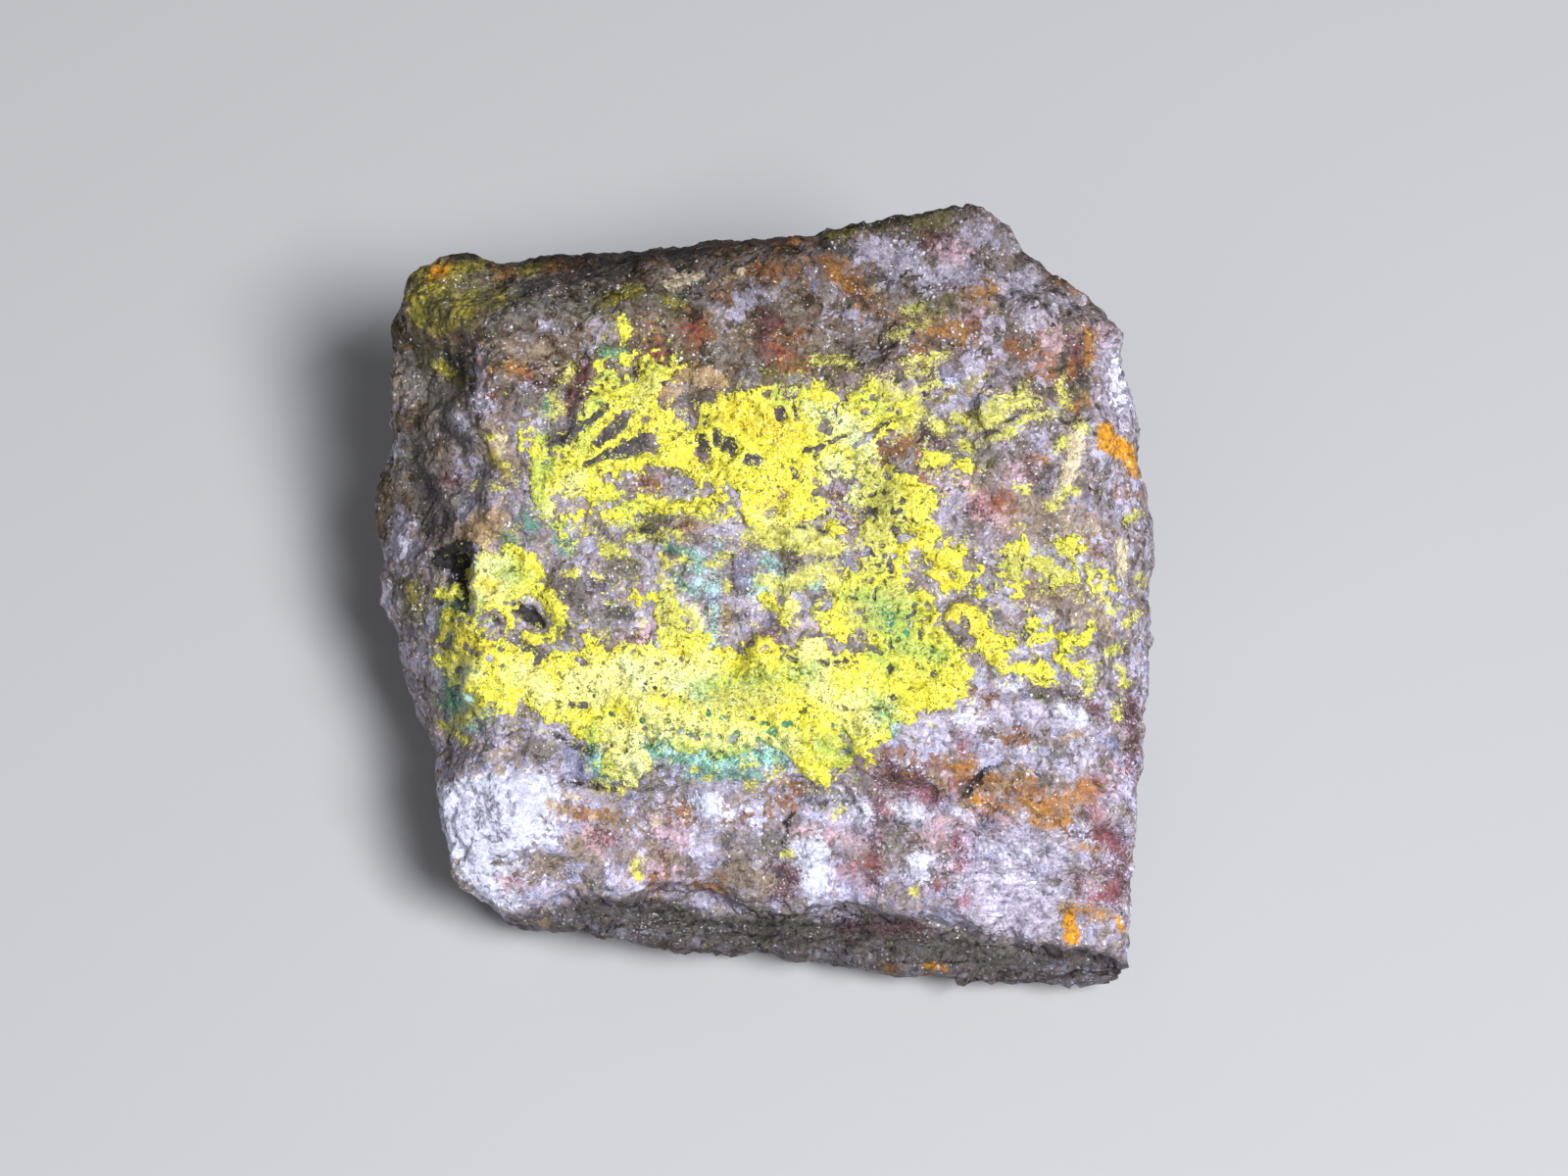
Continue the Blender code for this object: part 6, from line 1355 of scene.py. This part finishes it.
def rock_shade(tree, place, random, fine, drift, powder):
    """How light or dark the rock is: by grain, drift, fibre and speck, and calmer on pale feldspar."""
    shade = math_node(tree, "MULTIPLY_ADD", fine[0], 0.56, math_node(tree, "MULTIPLY", drift, 1.4))
    shade = math_node(tree, "MULTIPLY_ADD", random[2], 0.24, shade)
    drawn_out = vector_node(tree, "MULTIPLY", place, STREAK_STRETCH)
    streak = math_node(tree, "SUBTRACT", noise_node(tree, drawn_out, STREAK_SCALE, 3.0)["Fac"], 0.5)
    streak = math_node(tree, "MULTIPLY", streak, attribute(tree, "fibres"))
    shade = math_node(tree, "MULTIPLY_ADD", streak, 1.8, math_node(tree, "ADD", shade, -0.09))
    speck = stretched(tree, powder[2], 0.44, 0.32)
    shade = math_node(tree, "MULTIPLY", shade, math_node(tree, "MULTIPLY_ADD", speck, -0.5, 1.0))
    dust = math_node(tree, "MULTIPLY", math_node(tree, "SUBTRACT", powder[1], 0.5), 0.9)
    shade = math_node(tree, "ADD", shade, dust)
    calm = math_node(tree, "MULTIPLY", stretched(tree, attribute(tree, "white"), -0.4, 1.2), 0.45)
    return math_node(tree, "MULTIPLY_ADD", calm, math_node(tree, "SUBTRACT", 1.0, shade), shade)


def rock_material(settings):
    """Sugary rock of quartz, feldspar and mica, with its stains."""
    material, tree, shader, place = new_material("Rock")
    grain = place_group(tree, ready_group("Mineral grain", grain_group), {"Vector": place})
    random = split(tree, grain.outputs["Random"])
    fine = split(tree, grain.outputs["Fine random"])
    wide = noise_node(tree, place, ROCK_SCALE, 6.0, 0.62)["Color"]
    drifts = (split(tree, wide), noise_split(tree, place, DRIFT_SIZE))
    powder = noise_split(tree, place, POWDER_SIZE, 2.0, 0.8)
    colour = rock_patches(tree, place, wide, random, fine)
    halves = [math_node(tree, "MULTIPLY", fine[part], 0.5) for part in range(3)]
    grains = [math_node(tree, "MULTIPLY_ADD", random[part], 0.5, halves[part]) for part in range(3)]
    colour = stained(tree, settings, STAIN_LAYERS, "", colour, drifts, (grains, powder))
    loose = math_node(tree, "MULTIPLY_ADD", attribute(tree, "halo"), 0.035, drifts[1][1])
    flecks = stretched(tree, powder[1], 0.50, 0.58)
    loose = math_node(tree, "MULTIPLY", stretched(tree, loose, 0.50, 0.56), flecks)
    colour = mixed(tree, loose, colour, (*settings.film, 1.0))
    # Painted shade darkens the foot, the slope along the top and the upper part of the face, and dims their
    # glints
    outside_painted_shade = math_node(tree, "SUBTRACT", 1.0, attribute(tree, "dull_and_painted_shade"))
    shade = math_node(tree, "MULTIPLY", rock_shade(tree, place, random, fine, drifts[1][0], powder), outside_painted_shade)
    # Glints are painted highlights: white specks mixed into the base colour, and glossier as well
    glint = grain.outputs["Glint"]
    glinting = math_node(tree, "MULTIPLY", glint, math_node(tree, "MULTIPLY", outside_painted_shade, 0.9))
    lit = mixed(tree, glinting, scaled_colour(tree, colour, shade), GLINT_COLOUR)
    tree.links.new(lit, shader.inputs["Base Color"])
    gloss = math_node(tree, "MAXIMUM", glint, stretched(tree, random[1], 0.80, 0.95))
    tree.links.new(math_node(tree, "MULTIPLY_ADD", gloss, -0.45, 0.70), shader.inputs["Roughness"])
    bumped(tree, shader, grain.outputs["Height"], ROCK_BUMP)
    return material


# How each tint lies on the crusts, as for the stains
TINT_LAYERS = [
    ("olive", 0, 6.0, 7.0, 0.45, 0.8), ("pale", 0, 6.0, 10.0, 0.45, 0.5), ("gold", 0, 5.0, 4.0, 0.5, 0.8),
    ("aqua", 0, 4.0, 10.0, 0.35, 0.7), ("green", 0, 4.0, 12.0, 0.3, 0.7),
]


def crust_highlight_and_shade(tree, settings, colour, powder):
    """The crusts' colour with painted highlights of pale crystal colour on the lumps' tops, and painted shade
    of dull olive crystal colour between the lumps.
    """
    painted_light = math_node(tree, "MULTIPLY_ADD", powder[2], 1.2, attribute(tree, "crown"))
    painted_highlight = math_node(tree, "MULTIPLY", stretched(tree, painted_light, 0.62, 0.82), 0.52)
    colour = mixed(tree, painted_highlight, colour, (*settings.crust_pale, 1.0))
    painted_hollow_shade = math_node(tree, "MULTIPLY", stretched(tree, painted_light, 0.55, 0.38), 0.6)
    return mixed(tree, painted_hollow_shade, colour, (*settings.crust_olive, 1.0))


def crust_rim(tree, settings, colour, drift, powder):
    """The crusts' colour with green crystals along parts of their edges."""
    rim = stretched(tree, attribute(tree, "inside"), 0.45, 0.0)
    rim = math_node(tree, "MULTIPLY", rim, stretched(tree, drift, 0.46, 0.62))
    rim = math_node(tree, "MULTIPLY", rim, stretched(tree, powder[0], 0.42, 0.58))
    return mixed(tree, math_node(tree, "MULTIPLY", rim, 0.7), colour, (*settings.crust_green, 1.0))


def crust_pit_shade(tree, place, drift, powder, glint):
    """Where the crusts get painted shade of dark pits: fine ones and clots in drifts, and single grains."""
    crowd = stretched(tree, drift, 0.36, 0.52)
    pit_shade = math_node(tree, "MULTIPLY", crowd, stretched(tree, powder[0], 0.42, 0.36))
    clots = noise_split(tree, place, CLOT_SIZE, 2.0, 0.7)
    clot = math_node(tree, "MULTIPLY", crowd, stretched(tree, clots[0], 0.405, 0.36))
    pit_shade = math_node(tree, "MAXIMUM", math_node(tree, "MAXIMUM", pit_shade, clot), glint)
    return math_node(tree, "MULTIPLY", pit_shade, 0.85)


def crust_material(settings):
    """Powdery yellow crystals, from lemon to green."""
    material, tree, shader, place = new_material("Francevillite")
    grain = place_group(tree, ready_group("Mineral grain", grain_group), {"Vector": place, **CRUST_GRAIN})
    fine = split(tree, grain.outputs["Fine random"])
    random = split(tree, grain.outputs["Random"])
    drift = split(tree, noise_node(tree, place, CRUST_SCALE, 6.0, 0.7)["Color"])
    powder = noise_split(tree, place, POWDER_SIZE, 2.0, 0.8)
    dull_and_painted_shade = math_node(tree, "MULTIPLY", stretched(tree, drift[2], 0.52, 0.72), 0.5)
    colour = mixed(tree, dull_and_painted_shade, (*settings.yellow, 1.0), (*settings.crust_olive, 1.0))
    colour = stained(tree, settings, TINT_LAYERS, "crust_", colour, (drift,), (powder,))
    colour = crust_highlight_and_shade(tree, settings, colour, powder)
    colour = crust_rim(tree, settings, colour, drift[1], powder)
    shade = math_node(tree, "MULTIPLY_ADD", random[0], 0.22, 0.58)
    shade = math_node(tree, "MULTIPLY_ADD", fine[0], 0.34, shade)
    shade = math_node(tree, "MULTIPLY_ADD", powder[1], 0.76, shade)
    pit_shade = crust_pit_shade(tree, place, drift[0], powder, grain.outputs["Glint"])
    pit_shaded = mixed(tree, pit_shade, scaled_colour(tree, colour, shade), PIT_SHADE_COLOUR)
    tree.links.new(pit_shaded, shader.inputs["Base Color"])
    shader.inputs["Roughness"].default_value = CRUST_ROUGHNESS
    height = math_node(tree, "MULTIPLY_ADD", powder[1], POWDER_HEIGHT, grain.outputs["Height"])
    bumped(tree, shader, height, CRUST_BUMP)
    return material


def colour_property(name, description, default):
    """A colour of the panel."""
    return FloatVectorProperty(name=name, description=description, default=default, subtype="COLOR",
                               min=0.0, max=1.0)


def length_property(name, description, default):
    """A length of the panel."""
    return FloatProperty(name=name, description=description, default=default, subtype="DISTANCE",
                         unit="LENGTH", min=0.0, precision=5)


class SpecimenSettings(bpy.types.PropertyGroup):
    """Sizes and colours of the specimen."""

    rock_cell: length_property("Rock cell", "Cell of the rock's mesh, halved on the show face", 0.00069)
    crust_spacing: length_property("Crust cell", "Cell of the crusts' mesh", 0.00020)
    crust_thickness: length_property("Crust thickness", "Thickness of a crust away from its edge", 0.00042)
    white: colour_property("White", "Pale feldspar", (0.84, 0.85, 1.0))
    lavender: colour_property("Lavender", "Grey and lavender quartz", (0.60, 0.54, 0.66))
    slate: colour_property("Slate", "Blue-grey quartz", (0.27, 0.27, 0.42))
    tan: colour_property("Tan", "Tan and pink feldspar", (0.38, 0.28, 0.19))
    smoke: colour_property("Smoke", "Grey-brown clear quartz", (0.23, 0.20, 0.17))
    pink: colour_property("Pink", "Pink feldspar", (0.64, 0.42, 0.46))
    buff: colour_property("Buff", "Buff iron stain", (0.50, 0.33, 0.16))
    cream: colour_property("Cream", "Cream crystals", (0.90, 0.75, 0.48))
    rust: colour_property("Rust", "Rust stain", (0.33, 0.13, 0.035))
    amber: colour_property("Amber", "Orange-brown iron stain", (0.50, 0.22, 0.035))
    ochre: colour_property("Ochre", "Bright ochre", (0.85, 0.36, 0.02))
    scarlet: colour_property("Scarlet", "Red specks", (0.34, 0.06, 0.06))
    maroon: colour_property("Maroon", "Dark red specks", (0.15, 0.045, 0.055))
    teal: colour_property("Teal", "Green copper stain", (0.10, 0.42, 0.25))
    aqua: colour_property("Aqua", "Pale copper stain", (0.44, 0.74, 0.66))
    olive: colour_property("Olive", "Olive film", (0.17, 0.15, 0.035))
    moss: colour_property("Moss", "Yellow-olive film", (0.46, 0.38, 0.03))
    dusting: colour_property("Dusting", "Broken pale crystals", (0.82, 0.78, 0.17))
    film: colour_property("Film", "Thin yellow film", (0.76, 0.72, 0.12))
    # Dark grains, and painted shade under the crusts and in their gaps
    dark: colour_property("Dark", "Dark grains", (0.055, 0.05, 0.05))
    # Painted shade of holes and clefts
    black: colour_property("Black", "Holes and clefts", (0.014, 0.012, 0.012))
    yellow: colour_property("Yellow", "Yellow crystals", (0.92, 0.83, 0.05))
    crust_pale: colour_property("Pale crust", "Palest crystals", (0.97, 0.96, 0.55))
    crust_green: colour_property("Green crust", "Greenest crystals", (0.22, 0.44, 0.11))
    crust_aqua: colour_property("Aqua crust", "Bluish white crystals", (0.66, 0.84, 0.60))
    crust_olive: colour_property("Olive crust", "Thin dull crystals", (0.58, 0.56, 0.13))
    crust_gold: colour_property("Gold crust", "Deepest crystals", (0.84, 0.66, 0.02))


class SPECIMEN_OT_rock(bpy.types.Operator):
    """Makes the rock"""

    bl_idname = "specimen.rock"
    bl_label = "Rock"

    def execute(self, context):
        settings = context.scene.specimen
        rock = merged_copy("matrix_rock", "rock")
        apply_modifier(rock, "REMESH", mode="VOXEL", voxel_size=settings.rock_cell)
        apply_modifier(rock, "SMOOTH", factor=0.5, iterations=3)
        refine_show_face(rock)
        roughen_rock(rock.data)
        stain_rock(rock.data)
        rock.data.materials.clear()
        rock.data.materials.append(rock_material(settings))
        bpy.ops.object.shade_smooth()
        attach(rock, "root")
        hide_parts("matrix_rock")
        return {"FINISHED"}


class SPECIMEN_OT_crusts(bpy.types.Operator):
    """Grows the yellow crusts over the rock"""

    bl_idname = "specimen.crusts"
    bl_label = "Crusts"

    def execute(self, context):
        settings = context.scene.specimen
        tree = rock_tree(bpy.data.objects["rock"])
        material = crust_material(settings)
        for name in CRUST_OUTLINES:
            piece = grow_crust(name, tree, settings.crust_spacing, settings.crust_thickness)
            piece.data.materials.clear()
            piece.data.materials.append(material)
            select_only(piece)
            bpy.ops.object.shade_smooth()
            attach(piece, "root")
            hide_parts(name)
        return {"FINISHED"}


# Lights of the studio: name, direction, distance, size and power
LIGHTS = (
    ("key_light", (0.34, -0.42, 0.84), 0.9, 0.30, 11.0),
    ("fill_light", (-0.35, -0.5, 0.9), 1.1, 0.8, 1.0),
)
# What they aim at, their colour, and what is around the specimen
LIGHT_AIM = Vector((0.0, 0.0, 20.0)) * MM
LIGHT_COLOUR = (0.91, 0.93, 1.0)
WORLD_COLOUR = (0.9, 0.93, 1.0, 1.0)
WORLD_STRENGTH = 0.10
FLOOR_SIZE = 6.0
FLOOR_COLOUR = (0.55, 0.55, 0.54, 1.0)


def add_area_light(name, direction, distance, size, power):
    """A soft square light that faces the specimen."""
    bpy.ops.object.light_add(type="AREA", location=LIGHT_AIM + Vector(direction).normalized() * distance)
    light = bpy.context.active_object
    light.name = name
    light.rotation_euler = (light.location - LIGHT_AIM).to_track_quat("Z", "Y").to_euler()
    light.data.size = size
    light.data.energy = power
    light.data.color = LIGHT_COLOUR


class SPECIMEN_OT_studio(bpy.types.Operator):
    """Makes the floor, the lights and the camera"""

    bl_idname = "specimen.studio"
    bl_label = "Studio"

    def execute(self, context):
        bpy.ops.object.select_all(action="DESELECT")
        bpy.ops.mesh.primitive_plane_add(size=FLOOR_SIZE, location=(0.0, 0.0, 0.0))
        floor = context.active_object
        floor.name = "floor"
        material, _, shader, _ = new_material("Floor")
        shader.inputs["Base Color"].default_value = FLOOR_COLOUR
        shader.inputs["Roughness"].default_value = 0.9
        floor.data.materials.append(material)
        for light in LIGHTS:
            add_area_light(*light)
        world = bpy.data.worlds.new("Studio")
        world.use_nodes = True
        back = world.node_tree.nodes["Background"]
        back.inputs["Color"].default_value = WORLD_COLOUR
        back.inputs["Strength"].default_value = WORLD_STRENGTH
        context.scene.world = world
        bpy.ops.object.camera_add()
        camera = context.active_object
        camera.name = "camera"
        camera.matrix_world = SHOW_FRAME @ Matrix.Translation(VIEW_OVER)
        camera.data.sensor_width = SENSOR_WIDTH
        camera.data.lens = SENSOR_WIDTH * VIEW_DISTANCE / VIEW_WIDTH
        camera.data.clip_start = 0.01
        context.scene.camera = camera
        context.scene.view_settings.view_transform = "Standard"
        return {"FINISHED"}


class SPECIMEN_PT_panel(bpy.types.Panel):
    """Steps of the specimen, in order"""

    bl_idname = "SPECIMEN_PT_panel"
    bl_label = "Specimen"
    bl_space_type = "VIEW_3D"
    bl_region_type = "UI"
    bl_category = "Specimen"

    def draw(self, context):
        layout = self.layout
        for name in SpecimenSettings.__annotations__:
            layout.prop(context.scene.specimen, name)
        for step in OPERATORS:
            layout.operator(step.bl_idname)


OPERATORS = (SPECIMEN_OT_rock, SPECIMEN_OT_crusts, SPECIMEN_OT_studio)
CLASSES = (SpecimenSettings, *OPERATORS, SPECIMEN_PT_panel)


def register():
    """Registers the classes and the settings."""
    for item in CLASSES:
        bpy.utils.register_class(item)
    bpy.types.Scene.specimen = PointerProperty(type=SpecimenSettings)


def unregister():
    """Takes the settings and the classes away again."""
    del bpy.types.Scene.specimen
    for item in reversed(CLASSES):
        bpy.utils.unregister_class(item)


def main():
    """Builds the specimen and its studio."""
    register()
    bpy.ops.specimen.rock()
    bpy.ops.specimen.crusts()
    bpy.ops.specimen.studio()
    bpy.context.view_layer.update()


if __name__ == "__main__":
    main()
